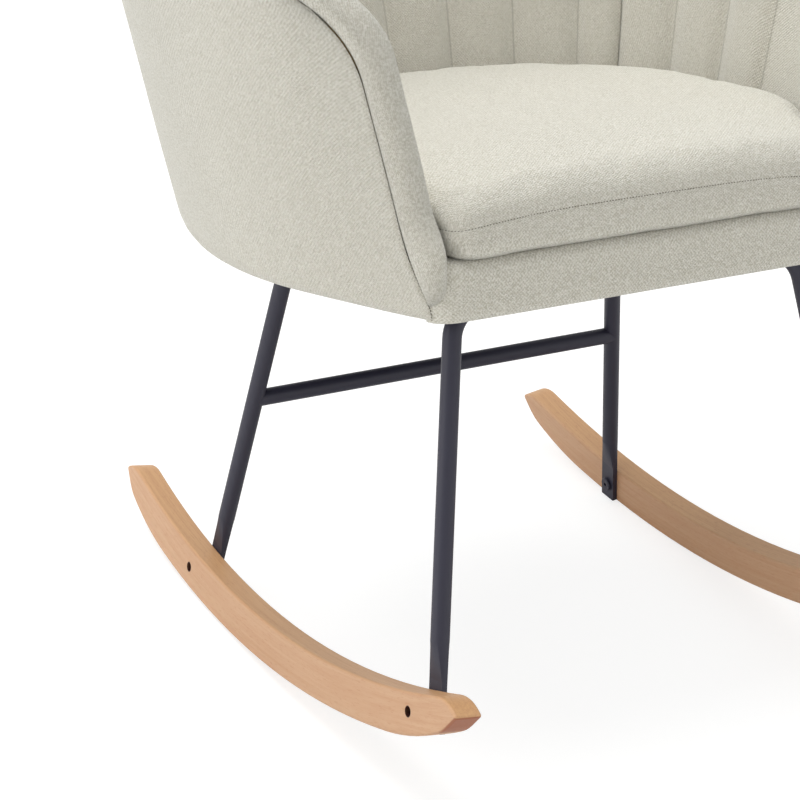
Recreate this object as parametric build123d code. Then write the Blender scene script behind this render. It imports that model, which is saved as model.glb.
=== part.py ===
from build123d import *
import os
from math import cos, pi, radians, sin, sqrt, tan

# Upholstered tub rocking chair on two beech rockers, carried by two bent tube leg hoops.
# Millimetres and degrees. +Z is up, the chair faces -Y, and x = 0 is its middle plane.
# The chair is drawn upright and then rolled back on its rockers to the pose it comes to rest in.

# Rest pose
rest_roll_back = 3.6

# Beech rockers: arcs of one circle, leaning inward at the top, pointed at both ends
rocker_radius = 1080.0
rocker_height = 38.0
rocker_thickness = 25.0
rocker_tilt = 9.0
rocker_spread = 511.0
rocker_front_length = 408.0
rocker_rear_length = 309.0
rocker_front_tip_rise = 22.0
rocker_rear_tip_rise = 26.0
rocker_front_round = 32.0
rocker_rear_round = 28.0
rocker_sweep_length = 120.0
rocker_chin_length = 22.0
rocker_chin_rise = 10.5
rocker_chin_round = 45.0
rocker_edge_round = 2.5

# Leg hoops: round steel tube, flattened into drilled feet against the rockers' inner faces
tube_diameter = 16.0
tube_wall = 1.5
front_bolt_setback = 80.3
rear_bolt_setback = 182.5
front_bolt_rise = 3.0
rear_bolt_rise = 0.0
front_crossbar_setback = 33.8
rear_crossbar_y = 39.5
hoop_bend_radius = 30.0
foot_thickness = 5.0
foot_width = 21.0
foot_flat_rise = 24.0
foot_crush_length = 32.0
foot_end_gap = 2.0
stretcher_height = 209.0

# Bolts that hold the feet to the rockers, each in a sleeve nut sunk in the wood
bolt_diameter = 6.0
bolt_head_diameter = 14.0
bolt_head_height = 3.2
bolt_socket = 4.0
bolt_socket_depth = 2.0
sleeve_diameter = 9.0
sleeve_length = 16.0
sleeve_recess = 6.0
bolt_reach = 15.0
thread_gap = 0.1
hole_gap = 0.3

# Plates welded on the hoops, bolted up into the seat frame
plate_length = 70.0
plate_depth = 34.0
plate_thickness = 3.0
plate_x = 95.0
plate_bolt_spacing = 44.0
plate_bolt_offset = 17.0
plate_tube_overlap = 8.0
insert_diameter = 9.0
insert_length = 15.0

# Seat frame: softwood rails under elastic webbing, closed below by a dust cover
seat_base_height = 386.0
dust_cover_recess = 11.0
dust_cover_thickness = 1.0
rail_height = 31.0
rail_thickness = 22.0
cross_rail_depth = 34.0
front_rail_depth = 36.0
rear_rail_y = 105.0
webbing_width = 50.0
webbing_thickness = 1.2
webbing_count = 4
webbing_pitch = 70.0
webbing_centre_y = -85.0

# Tub shell: a cone of round sections, narrowed by straight runs to the front corners
shell_front_y = -285.0
shell_front_half = 199.0
shell_front_flare = 7.5
shell_radius = 289.0
shell_centre_y = -51.0
shell_flare = 11.7
shell_recline = 2.2
shell_side_angle = 30.0
shell_section_height = 640.0
shell_foot_bevel = 5.0
cover_thickness = 6.0
core_thickness = 8.0
pad_thickness = 22.0
tacking_rail_height = 24.0
tacking_rail_start_y = -30.0

# Seat space inside the tub, with sewn channels up its wall
side_wall = 52.5
back_wall_offset = 37.0
front_wall = 29.0
space_flare = 14.0
space_recline = 3.9
space_front_flare = 9.1
channel_depth = 7.0
side_channel_seams = (3.8, 16.0, 28.2)  # degrees round from straight right; the left side mirrors them
back_seam = 40.3
back_channel_seams = (49.2, 62.8, 76.4, 90.0)

# Rim seen from the side: up the arm front, along the arm, and over the high back
rim_front_y = -278.7
rim_knee_y = -262.0
rim_knee_height = 64.0
arm_front_y = -256.0
arm_height = 264.0
arm_slope = 8.0
arm_length = 190.0
wing_slope = 48.0
back_height = 540.0
back_top_slope = 7.0
rim_knee_round = 90.0
arm_front_round = 66.0
arm_wing_round = 170.0
back_top_round = 150.0
band_depth = 12.0

# Apron over the front rail and loose seat cushion
apron_thickness = 6.0
apron_overhang = 3.0
apron_side_cut = 16.0
cushion_gap = 3.0
cushion_seat_gap = 0.3
cushion_overhang = 8.0
cushion_corner = 30.0
cushion_side = 34.0
cushion_crown = 28.0
cushion_tilt = 2.0
cushion_foot_pull = 10.0
cushion_crown_pull = 80.0

# Worked-out levels and places
tilt = radians(rocker_tilt)
rocker_lift = (rocker_thickness - rocker_edge_round) * sin(tilt) + rocker_edge_round * (1 - cos(tilt))
foot_offset = rocker_thickness + foot_thickness / 2
tube_radius = tube_diameter / 2
bolt_radius = rocker_radius - rocker_height / 2
front_bolt_y = -bolt_radius * sin((rocker_front_length - front_bolt_setback) / rocker_radius)
rear_bolt_y = bolt_radius * sin((rocker_rear_length - rear_bolt_setback) / rocker_radius)
front_crossbar_y = shell_front_y + front_crossbar_setback
dust_z = seat_base_height + dust_cover_recess
rail_z = dust_z + dust_cover_thickness
deck_z = rail_z + rail_height
pad_z = deck_z + 2 * webbing_thickness
crossbar_z = dust_z - plate_thickness - tube_radius
crossbar_s = (crossbar_z - rocker_lift + foot_offset * sin(tilt)) / cos(tilt)
reach = 2 * shell_section_height
space_radius = shell_radius - side_wall
space_centre_y = shell_centre_y - back_wall_offset
space_front_half = shell_front_half - front_wall


def rocker_point(y, s, inward):
    """A point of the left rocker's own axes: along the floor, up its leaning face, in from its outer face."""
    x = -rocker_spread / 2 + inward * cos(tilt) + s * sin(tilt)
    return Vector(x, y, rocker_lift - inward * sin(tilt) + s * cos(tilt))


def rocker_plane(inward):
    """The left rocker's face plane, moved in from its outer face."""
    normal = (cos(tilt), 0, -sin(tilt))
    return Plane(origin=rocker_point(0, 0, inward), x_dir=(0, 1, 0), z_dir=normal)


def on_rocker(radius, along):
    """A point in the rocker's face at a radius of its circle, at a length along its lower arc."""
    angle = along / rocker_radius
    return Vector(radius * sin(angle), rocker_radius - radius * cos(angle))


def right_of(part):
    """The right-hand twin of a left-hand piece."""
    return mirror(part, about=Plane.YZ)


def rocker_end(way, length, tip_rise, top_round):
    """One end of the outline: swept up below, cut back to the tip, and rounded over to the top edge."""
    sweep_at, top_at = way * (length - rocker_sweep_length), way * (length - top_round)
    sweep_start = on_rocker(rocker_radius, sweep_at)
    chin = on_rocker(rocker_radius - rocker_chin_rise, way * (length - rocker_chin_length))
    tip = on_rocker(rocker_radius - tip_rise, way * length)
    top = on_rocker(rocker_radius - rocker_height, top_at)
    lines = [
        TangentArc(sweep_start, chin, tangent=along_rocker(way, sweep_at)),
        Line(chin, tip),
        TangentArc(top, tip, tangent=along_rocker(way, top_at)),
    ]
    return sweep_start, chin, top, lines


def along_rocker(way, along):
    """The direction of the rocker's arc at a length along it, toward its front or rear end."""
    angle = along / rocker_radius
    return Vector(way * cos(angle), way * sin(angle))


def rocker():
    """One rocker: an arc with pointed ends, its edges eased, bored across for the sleeve nuts."""
    front_low, front_chin, front_top, front_lines = rocker_end(
        -1, rocker_front_length, rocker_front_tip_rise, rocker_front_round)
    rear_low, rear_chin, rear_top, rear_lines = rocker_end(
        1, rocker_rear_length, rocker_rear_tip_rise, rocker_rear_round)
    lower = ThreePointArc(front_low, on_rocker(rocker_radius, 0), rear_low)
    upper = ThreePointArc(rear_top, on_rocker(rocker_radius - rocker_height, 0), front_top)
    face = make_face([lower, upper, *front_lines, *rear_lines])
    chins = [v for v in face.vertices() if min((Vector(v) - c).length for c in (front_chin, rear_chin)) < 1]
    face = fillet(chins, rocker_chin_round)
    blank = extrude(rocker_plane(0) * face, amount=rocker_thickness)
    blank = fillet(blank.edges(), rocker_edge_round)
    for bolt_y in (front_bolt_y, rear_bolt_y):
        blank -= across_rocker(bolt_y, 0, rocker_thickness, sleeve_diameter / 2 + thread_gap)
    return blank


def bolt_height(bolt_y):
    """Height of a bolt up the rocker's face: the middle of its section there, and its own rise."""
    middle = rocker_radius - sqrt(bolt_radius**2 - bolt_y**2)
    return middle + (front_bolt_rise if bolt_y < 0 else rear_bolt_rise)


def across_rocker(bolt_y, start, end, radius):
    """A round bar across the rocker on a bolt's axis, between two depths from its outer face."""
    centre = Pos(bolt_y, bolt_height(bolt_y), (start + end) / 2)
    return rocker_plane(0) * centre * Cylinder(radius, end - start)


def leg_line(bolt_y, bar_y, s):
    """The axis of a leg from its bolt to its hoop's crossbar, s up the rocker's leaning face."""
    low = bolt_height(bolt_y)
    return rocker_point(bolt_y + (bar_y - bolt_y) * (s - low) / (crossbar_s - low), s, foot_offset)


def leg_plane(bolt_y, bar_y, up):
    """Plane square to the leg, a length up it from the bolt. Its x runs in the rocker's face."""
    foot = leg_line(bolt_y, bar_y, bolt_height(bolt_y))
    axis = (leg_line(bolt_y, bar_y, bolt_height(bolt_y) + 1) - foot).normalized()
    across = axis.cross(rocker_plane(0).z_dir)
    return Plane(origin=foot + axis * up, x_dir=across, z_dir=axis)


def hoop_corner(bolt_y, bar_y):
    """Where the leg's axis would meet the crossbar's axis."""
    return leg_line(bolt_y, bar_y, crossbar_s)


def quartered_circle(radius, height):
    """A circle at a height, as four arcs that meet on its diagonals."""
    diagonal = radius / sqrt(2)
    ends = [(diagonal, diagonal), (-diagonal, diagonal), (-diagonal, -diagonal), (diagonal, -diagonal)]
    tops = [(0, radius), (-radius, 0), (0, -radius), (radius, 0)]
    arcs = []
    for index, top in enumerate(tops):
        start, end = ends[index], ends[(index + 1) % len(ends)]
        arcs.append(ThreePointArc((*start, height), (*top, height), (*end, height)))
    return make_face(arcs)


def foot(bolt_y, bar_y):
    """The tube's crushed stretch and its flat drilled end, which follows the rocker's lower edge."""
    crush = leg_plane(bolt_y, bar_y, foot_flat_rise)
    squashed = crush * Rectangle(foot_width, foot_thickness)
    round_end = crush * quartered_circle(tube_radius, foot_crush_length)
    taper = loft([squashed, round_end], ruled=True)
    tongue = extrude(squashed, amount=-(foot_flat_rise + rocker_height))
    end = rocker_radius - foot_end_gap
    rounder = Pos(0, rocker_radius, foot_offset) * Cylinder(end, 2 * foot_thickness)
    tongue &= rocker_plane(0) * rounder
    hole = bolt_diameter / 2 + hole_gap
    far_side = rocker_thickness + 2 * foot_thickness
    tongue -= across_rocker(bolt_y, rocker_thickness - foot_thickness, far_side, hole)
    return taper + tongue


def hoop_path(bolt_y, bar_y):
    """Centre line of a hoop, from one foot's crushed end over the crossbar to the other."""
    start = leg_plane(bolt_y, bar_y, foot_flat_rise + foot_crush_length).origin
    corner = hoop_corner(bolt_y, bar_y)
    points = [start, corner, Vector(-corner.X, corner.Y, corner.Z), Vector(-start.X, start.Y, start.Z)]
    return FilletPolyline(*points, radius=hoop_bend_radius)


def hoop_bar(bolt_y, bar_y, radius):
    """A bent round bar along a hoop's centre line."""
    path = hoop_path(bolt_y, bar_y)
    section = Plane(origin=path @ 0, z_dir=path % 0) * Circle(radius)
    return sweep(section, path=path)


def leg_hoop(bolt_y, bar_y):
    """A bent tube with a crushed foot at each end."""
    left_foot = foot(bolt_y, bar_y)
    hoop = hoop_bar(bolt_y, bar_y, tube_radius) + left_foot + right_of(left_foot)
    return hoop - hoop_bar(bolt_y, bar_y, tube_radius - tube_wall)


def rear_stretcher():
    """Straight tube between the rear legs, its ends coped round them."""
    end = leg_line(rear_bolt_y, rear_crossbar_y, stretcher_height)
    bar = Pos(0, end.Y, end.Z) * Rot(Y=90) * Cylinder(tube_radius, -2 * end.X)
    bore = Pos(0, end.Y, end.Z) * Rot(Y=90) * Cylinder(tube_radius - tube_wall, -2 * end.X)
    return bar - bore - hoop_bar(rear_bolt_y, rear_crossbar_y, tube_radius)


def rocker_bolt(bolt_y):
    """Flanged bolt with a hex socket, its head on the foot's inner face."""
    seat = rocker_thickness + foot_thickness
    head_end = seat + bolt_head_height
    shank = across_rocker(bolt_y, sleeve_recess + sleeve_length - bolt_reach, seat, bolt_diameter / 2)
    head = across_rocker(bolt_y, seat, head_end, bolt_head_diameter / 2)
    head = chamfer(head.edges(), bolt_head_height / 4)
    socket_place = Pos(bolt_y, bolt_height(bolt_y), head_end)
    socket = rocker_plane(0) * socket_place * RegularPolygon(bolt_socket / 2, 6, major_radius=False)
    return shank + head - extrude(socket, amount=-bolt_socket_depth)


def sleeve_nut(bolt_y):
    """Plain sleeve nut sunk in the rocker below its outer face."""
    start, end = sleeve_recess, sleeve_recess + sleeve_length
    bore = across_rocker(bolt_y, start, end, bolt_diameter / 2 + thread_gap)
    return across_rocker(bolt_y, start, end, sleeve_diameter / 2) - bore


def plate_places():
    """Each plate's name, middle and the way it reaches from its crossbar."""
    for end_name, y, way in (("front", front_crossbar_y, -1), ("rear", rear_crossbar_y, 1)):
        for side_name, x in (("left", -plate_x), ("right", plate_x)):
            yield f"{end_name}_{side_name}_mount_plate", x, y, way


def plate_bolt_spots():
    """The x, y of every bolt that holds a plate to the seat frame."""
    spots = []
    for _, x, y, way in plate_places():
        for half in (-plate_bolt_spacing / 2, plate_bolt_spacing / 2):
            spots.append((x + half, y + way * plate_bolt_offset))
    return spots


def mount_plate(x, y, way):
    """Flat plate on top of a crossbar, drilled beside the tube."""
    middle = y + way * (plate_depth / 2 - plate_tube_overlap)
    plate = Pos(x, middle, dust_z - plate_thickness / 2) * Box(plate_length, plate_depth, plate_thickness)
    plate = fillet(plate.edges().filter_by(Axis.Z), plate_tube_overlap / 2)
    for spot_x, spot_y in plate_bolt_spots():
        hole = Cylinder(bolt_diameter / 2 + hole_gap, 4 * plate_thickness)
        plate -= Pos(spot_x, spot_y, dust_z) * hole
    return plate


def seat_bolt():
    """Bolt from under a plate up into its insert nut, drawn about the plate's underside."""
    length = plate_thickness + dust_cover_thickness + insert_length
    shank = Cylinder(bolt_diameter / 2, length, align=(Align.CENTER, Align.CENTER, Align.MIN))
    upside_down = (Align.CENTER, Align.CENTER, Align.MAX)
    head = Cylinder(bolt_head_diameter / 2, bolt_head_height, align=upside_down)
    head = chamfer(head.edges(), bolt_head_height / 4)
    socket = Pos(0, 0, -bolt_head_height) * RegularPolygon(bolt_socket / 2, 6, major_radius=False)
    return shank + head - extrude(socket, amount=bolt_socket_depth)


def at_plate_bolts(part, z):
    """Copies of a part at every plate bolt, at one height."""
    return [Pos(x, y, z) * part for x, y in plate_bolt_spots()]


def insert_nut():
    """Threaded insert set in a rail from below."""
    upright = (Align.CENTER, Align.CENTER, Align.MIN)
    barrel = Cylinder(insert_diameter / 2, insert_length, align=upright)
    return barrel - Cylinder(bolt_diameter / 2 + thread_gap, insert_length, align=upright)


def shell_section(inset, height):
    """Level section of the tub at a height over the seat base, drawn in by an inset."""
    z = seat_base_height + height
    radius = shell_radius + height * tan(radians(shell_flare)) - inset
    centre = shell_centre_y + height * tan(radians(shell_recline))
    half = shell_front_half + height * tan(radians(shell_front_flare)) - inset
    low, mid = radians(shell_side_angle), radians((90 - shell_side_angle) / 2)
    corner = Vector(half, shell_front_y, z)
    side = Vector(radius * cos(low), centre - radius * sin(low), z)
    quarter = Vector(radius * cos(mid), centre + radius * sin(mid), z)
    back = Vector(0, centre + radius, z)
    left = [Vector(-point.X, point.Y, z) for point in (corner, side, quarter)]
    outline = [
        Line(left[0], corner),
        Line(corner, side),
        ThreePointArc(side, quarter, back),
        ThreePointArc(back, left[2], left[1]),
        Line(left[1], left[0]),
    ]
    return make_face(outline)


def shell_body(inset, low, high):
    """The tub filled solid between two heights over the seat base, drawn in by an inset."""
    return loft([shell_section(inset, low), shell_section(inset, high)], ruled=True)


def space_size(height):
    """Radius and centre of the seat space at a height over the seat base."""
    radius = space_radius + height * tan(radians(space_flare))
    return radius, space_centre_y + height * tan(radians(space_recline))


def space_section(height):
    """Level section of the seat space: scalloped by the channels round the back, open at the front."""
    z = seat_base_height + height
    radius, centre = space_size(height)
    half = space_front_half + height * tan(radians(space_front_flare))
    low = -shell_side_angle

    def at(angle, ring):
        turn = radians(angle)
        return Vector(ring * cos(turn), centre + ring * sin(turn), z)

    right_seams = [*side_channel_seams, back_seam, *back_channel_seams]
    seams = right_seams + [180 - angle for angle in reversed(right_seams[:-1])]
    first = seams[0]
    corner, corner_left = Vector(half, shell_front_y, z), Vector(-half, shell_front_y, z)
    outline = [Line(corner_left, corner), Line(corner, at(low, radius))]
    outline.append(ThreePointArc(at(low, radius), at((first + low) / 2, radius), at(first, radius)))
    for start, end in zip(seams, seams[1:]):
        crest = at((start + end) / 2, radius - channel_depth)
        outline.append(ThreePointArc(at(start, radius), crest, at(end, radius)))
    last = 180 - first
    middle = 180 - (first + low) / 2
    outline.append(ThreePointArc(at(last, radius), at(middle, radius), at(180 - low, radius)))
    outline.append(Line(at(180 - low, radius), corner_left))
    return make_face(outline)


def space_disc(grow, low, high):
    """The seat space's round outline, grown outward and filled solid between two heights over the base."""
    faces = []
    for height in (low, high):
        radius, centre = space_size(height)
        faces.append(Pos(0, centre, seat_base_height + height) * Circle(radius + grow))
    return loft(faces, ruled=True)


def core_block(inset, low, high):
    """All inside the core's outer face, drawn in by an inset: it lines the cover or backs the pad."""
    lined = shell_body(cover_thickness + inset, low, high)
    return lined & space_disc(pad_thickness + core_thickness - inset, low, high)


def seat_space():
    """The open space over the seat deck, inside the padded wall."""
    low = pad_z - seat_base_height
    return loft([space_section(low), space_section(shell_section_height)], ruled=True)


def back_sector():
    """The slice of the tub behind the seam lines between its sides and its back."""
    angle = radians(back_seam)
    faces = []
    for height in (0, shell_section_height):
        centre = space_size(height)[1]
        z = seat_base_height + height
        side = (reach * cos(angle), centre + reach * sin(angle), z)
        faces.append(make_face(Polyline((0, centre, z), side, (-side[0], side[1], z), close=True)))
    return loft(faces, ruled=True)


def rim_face():
    """Side view of all that lies under the rim, open below and behind."""
    base = seat_base_height
    arm_top = Vector(arm_front_y, base + arm_height)
    wing_foot = arm_top + Vector(arm_length, arm_length * tan(radians(arm_slope)))
    wing_rise = base + back_height - wing_foot.Y
    crown = wing_foot + Vector(wing_rise / tan(radians(wing_slope)), wing_rise)
    far_back = crown + Vector(reach, reach * tan(radians(back_top_slope)))
    knee = (rim_knee_y, base + rim_knee_height)
    foot_end = (rim_front_y, base)
    below = (rim_front_y, base - reach)
    radii = [0, rim_knee_round, arm_front_round, arm_wing_round, back_top_round]
    top_line = FilletPolyline(below, foot_end, knee, arm_top, wing_foot, crown, far_back, radius=radii)
    return make_face([top_line, Polyline(far_back, (far_back.X, base - reach), below)])


def under_rim(inset):
    """Everything under the rim, with the edge drawn in by an inset."""
    face = rim_face()
    if inset:
        face = offset(face, amount=-inset)
    return extrude(Plane.YZ * face, amount=reach, both=True)


def left_half():
    """Everything on the left of the middle plane."""
    return Pos(-reach, 0, 0) * Box(2 * reach, 4 * reach, 4 * reach)


def split_wall(layer, name, parts, sector):
    """Cut a layer of the tub's wall into its left, right and back pieces."""
    left_name, right_name, back_name = name
    side = (layer - sector) & left_half()
    parts[left_name] = side
    parts[right_name] = right_of(side)
    parts[back_name] = layer & sector


def tub_wall(parts):
    """The wall's layers from outside in: cover, moulded ply core and channelled lining, and the rim bands."""
    base, top = 0, shell_section_height
    foot = shell_foot_bevel
    outer = loft([shell_section(foot, 0), shell_section(0, foot), shell_section(0, top)], ruled=True)
    cover_inside = shell_body(cover_thickness, base, top)
    core_low = rail_z - seat_base_height
    core_outside = core_block(0, core_low, top)
    core_inside = core_block(core_thickness, base, top)
    lining = core_block(core_thickness, pad_z - seat_base_height, top) - seat_space()
    inside_rim = under_rim(band_depth)
    sector = back_sector()
    split_wall((outer - cover_inside) & inside_rim,
               ("left_side_cover", "right_side_cover", "back_cover"), parts, sector)
    split_wall((core_outside - core_inside) & inside_rim,
               ("left_side_core", "right_side_core", "back_core"), parts, sector)
    split_wall(lining & inside_rim, ("left_arm_pad", "right_arm_pad", "back_pad"), parts, sector)
    bands = ((outer - core_inside + lining) & under_rim(0)) - inside_rim
    split_wall(bands, ("left_arm_band", "right_arm_band", "back_rim_band"), parts, sector)
    hollow = (cover_inside - core_outside) & inside_rim
    rail_top = rail_z + tacking_rail_height
    parts["tacking_rail"] = hollow & level_slab(rail_z, rail_top, tacking_rail_start_y, reach)
    front = shell_front_y + apron_thickness
    sheet = cover_inside & level_slab(dust_z, rail_z, front, reach)
    hole = Cylinder(bolt_diameter / 2 + hole_gap, 4 * dust_cover_thickness)
    parts["dust_cover"] = sheet - bands - Compound(at_plate_bolts(hole, dust_z))


def level_slab(low, high, start_y, end_y):
    """A wide slab between two heights and two places front to back."""
    size = Box(4 * reach, end_y - start_y, high - low)
    return Pos(0, (start_y + end_y) / 2, (low + high) / 2) * size


def seat_frame(parts):
    """The rails under the seat, cut from one ring that follows the shell."""
    low, high = rail_z - seat_base_height, deck_z - seat_base_height
    inside = core_block(core_thickness, low, high)
    within = core_block(core_thickness + rail_thickness, low, high)
    ring = inside - within
    front = shell_front_y + apron_thickness
    front_end = front + front_rail_depth
    inserts = Compound(at_plate_bolts(Cylinder(insert_diameter / 2, insert_length,
                                               align=(Align.CENTER, Align.CENTER, Align.MIN)), rail_z))
    cross_y = rear_crossbar_y + plate_bolt_offset
    cross_start, cross_end = cross_y - cross_rail_depth / 2, cross_y + cross_rail_depth / 2
    parts["front_rail"] = (inside & level_slab(rail_z, deck_z, front, front_end)) - inserts
    parts["cross_rail"] = (within & level_slab(rail_z, deck_z, cross_start, cross_end)) - inserts
    side = ring & level_slab(rail_z, deck_z, front_end, rear_rail_y) & left_half()
    parts["left_side_rail"] = side
    parts["right_side_rail"] = right_of(side)
    parts["rear_rail"] = ring & level_slab(rail_z, deck_z, rear_rail_y, reach)


def webbing(parts):
    """Two layers of straps over the rails."""
    low = deck_z - seat_base_height
    first = -(webbing_count - 1) / 2 * webbing_pitch
    inside = core_block(core_thickness, low, low + 2 * webbing_thickness)
    front = shell_front_y + apron_thickness + front_rail_depth / 2
    lengthwise, crosswise = [], []
    for index in range(webbing_count):
        place = first + index * webbing_pitch
        strap = Box(webbing_width, 4 * reach, webbing_thickness)
        strap = Pos(place, 0, deck_z + webbing_thickness / 2) * strap
        lengthwise.append(strap & inside & level_slab(deck_z, pad_z, front, reach))
        across = Pos(0, webbing_centre_y + place, deck_z + 1.5 * webbing_thickness)
        crosswise.append(across * Box(4 * reach, webbing_width, webbing_thickness) & inside)
    parts["lengthwise_webbing"] = lengthwise
    parts["crosswise_webbing"] = crosswise


def apron():
    """Padded front panel over the front rail, narrowing upward between the arm bands."""
    low, high = seat_base_height, deck_z
    half = shell_front_half + apron_overhang
    top_half = half - apron_side_cut
    outline = Polyline((-half, low), (half, low), (top_half, high), (-top_half, high), close=True)
    front = Plane(origin=(0, shell_front_y + apron_thickness, 0), x_dir=(1, 0, 0), z_dir=(0, -1, 0))
    return extrude(front * make_face(outline), amount=apron_thickness)


def cushion_ring(pull, low, slope):
    """Outline of the seat cushion drawn in by a pull, at a height over the deck, sloping down to the back."""
    height = low + pad_z - seat_base_height
    radius, centre = space_size(height)
    radius -= cushion_gap + channel_depth + pull
    half = space_front_half + height * tan(radians(space_front_flare)) - cushion_gap - pull
    turn = radians(shell_side_angle)
    side = Vector(radius * cos(turn), centre - radius * sin(turn))
    front = shell_front_y - cushion_overhang + pull
    shoulder_y = front + cushion_corner
    lean = (side.X - half) / (side.Y - shell_front_y)
    shoulder = Vector(half + (shoulder_y - shell_front_y) * lean, shoulder_y)
    corner = Vector(shoulder.X - cushion_corner, front)
    bend = cushion_corner * (1 - sqrt(0.5))
    elbow = Vector(shoulder.X - bend, front + bend)
    mid = (pi / 2 - turn) / 2
    quarter = Vector(radius * cos(mid), centre + radius * sin(mid))
    back = Vector(0, centre + radius)

    def left(point):
        return Vector(-point.X, point.Y)

    outline = [
        Line(left(corner), corner),
        ThreePointArc(corner, elbow, shoulder),
        Line(shoulder, side),
        ThreePointArc(side, quarter, back),
        ThreePointArc(back, left(quarter), left(side)),
        Line(left(side), left(shoulder)),
        ThreePointArc(left(shoulder), left(elbow), left(corner)),
    ]
    place = Pos(0, front, pad_z + cushion_seat_gap + low) * Rot(X=-slope) * Pos(0, -front, 0)
    return place * make_face(outline)


def seat_cushion():
    """Box cushion with a crowned top, drawn in at its foot, its seam standing out at the top of its sides."""
    crown, pull = cushion_crown, cushion_crown_pull
    rings = [
        cushion_ring(cushion_foot_pull, 0, 0),
        cushion_ring(cushion_foot_pull / 10, 0.3 * cushion_side, 0),
        cushion_ring(0, cushion_side, cushion_tilt / 4),
        cushion_ring(0.07 * pull, cushion_side + 0.43 * crown, cushion_tilt / 2),
        cushion_ring(0.28 * pull, cushion_side + 0.76 * crown, cushion_tilt),
        cushion_ring(pull, cushion_side + crown, cushion_tilt),
    ]
    return loft(rings, ruled=True)


def at_rest(shape):
    """Roll a drawn piece back with the chair, about the middle of the rockers' circle."""
    hub = rocker_lift + rocker_radius * cos(tilt)
    return Pos(0, 0, hub) * Rot(X=-rest_roll_back) * Pos(0, 0, -hub) * shape


def rockers_and_legs(parts):
    """The frame under the seat and what bolts it together."""
    left = rocker()
    parts["left_rocker"] = left
    parts["right_rocker"] = right_of(left)
    parts["front_leg_hoop"] = leg_hoop(front_bolt_y, front_crossbar_y)
    parts["rear_leg_hoop"] = leg_hoop(rear_bolt_y, rear_crossbar_y)
    parts["rear_stretcher"] = rear_stretcher()
    left_bolts = [rocker_bolt(front_bolt_y), rocker_bolt(rear_bolt_y)]
    left_nuts = [sleeve_nut(front_bolt_y), sleeve_nut(rear_bolt_y)]
    parts["rocker_bolts"] = left_bolts + [right_of(bolt) for bolt in left_bolts]
    parts["rocker_sleeve_nuts"] = left_nuts + [right_of(nut) for nut in left_nuts]
    for name, x, y, way in plate_places():
        parts[name] = mount_plate(x, y, way)
    parts["seat_bolts"] = at_plate_bolts(seat_bolt(), dust_z - plate_thickness)
    parts["seat_insert_nuts"] = at_plate_bolts(insert_nut(), rail_z)


def build():
    """Every piece by name, drawn upright."""
    parts = {}
    rockers_and_legs(parts)
    seat_frame(parts)
    webbing(parts)
    tub_wall(parts)
    parts["apron"] = apron()
    parts["seat_cushion"] = seat_cushion()
    return parts


def main():
    os.makedirs("parts", exist_ok=True)
    for name, piece in build().items():
        solids = piece if isinstance(piece, list) else [piece]
        placed = [solid for shape in solids for solid in at_rest(shape).solids()]
        export_step(Compound(placed) if len(placed) > 1 else placed[0], f"parts/{name}.step")


main()
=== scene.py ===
from math import atan2, cos, exp, floor, pi, radians, sin, sqrt, tan

import bmesh
import bpy
from mathutils import Matrix, Vector, noise
from mathutils.bvhtree import BVHTree


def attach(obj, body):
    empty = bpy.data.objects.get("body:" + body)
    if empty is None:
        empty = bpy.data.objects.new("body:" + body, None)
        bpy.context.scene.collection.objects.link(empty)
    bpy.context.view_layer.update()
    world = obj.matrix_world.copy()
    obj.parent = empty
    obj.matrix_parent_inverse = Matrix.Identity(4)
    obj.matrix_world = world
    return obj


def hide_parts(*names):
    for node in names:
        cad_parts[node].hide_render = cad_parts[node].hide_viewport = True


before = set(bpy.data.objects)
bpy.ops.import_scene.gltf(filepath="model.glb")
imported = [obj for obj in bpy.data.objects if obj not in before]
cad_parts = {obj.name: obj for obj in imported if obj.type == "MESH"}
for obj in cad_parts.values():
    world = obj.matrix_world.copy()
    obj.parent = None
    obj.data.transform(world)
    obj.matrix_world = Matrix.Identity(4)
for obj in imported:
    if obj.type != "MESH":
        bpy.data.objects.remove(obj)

bl_info = {
    "name": "Tub Rocking Chair",
    "version": (1, 0, 0),
    "blender": (4, 5, 0),
    "location": "View3D > Sidebar > Rocking Chair",
    "description": "Dresses the rocking chair's frame: linen upholstery, beech rockers and black tube legs",
    "category": "Object",
}

MM = 0.001
SEAM_OVERLAP = radians(0.5)  # how far the cloth of side and back run past their seam, under each other
DIAGONAL_WAVE = 0.444  # period of a diagonal wave texture at scale 1
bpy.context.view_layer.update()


def linear(hex_colour):
    """An sRGB hex colour as the linear RGBA that shaders take."""
    channels = [int(hex_colour[i:i + 2], 16) / 255 for i in (1, 3, 5)]
    return tuple(c / 12.92 if c <= 0.04045 else ((c + 0.055) / 1.055) ** 2.4 for c in channels) + (1.0,)


def length(name, description, millimetres):
    """A property that holds a length in metres, its default given in millimetres."""
    return bpy.props.FloatProperty(name=name, description=description, default=millimetres * MM, unit="LENGTH")


def angle(name, description, degrees):
    """A property that holds an angle, its default given in degrees."""
    return bpy.props.FloatProperty(name=name, description=description, default=radians(degrees), subtype="ANGLE")


def angles(name, description, degrees):
    """A property that holds a row of angles, their defaults given in degrees."""
    return bpy.props.FloatVectorProperty(
        name=name, description=description, default=[radians(d) for d in degrees], size=len(degrees), unit="ROTATION")


def point(name, description, millimetres):
    """A property that holds a place in metres, its default given in millimetres."""
    return bpy.props.FloatVectorProperty(
        name=name, description=description, default=[c * MM for c in millimetres], size=3, subtype="XYZ",
        unit="LENGTH")


def colour(name, description, hex_colour):
    """A property that holds a colour, its default given as an sRGB hex value."""
    return bpy.props.FloatVectorProperty(
        name=name, description=description, default=linear(hex_colour), size=4, min=0, max=1, subtype="COLOR")


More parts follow.
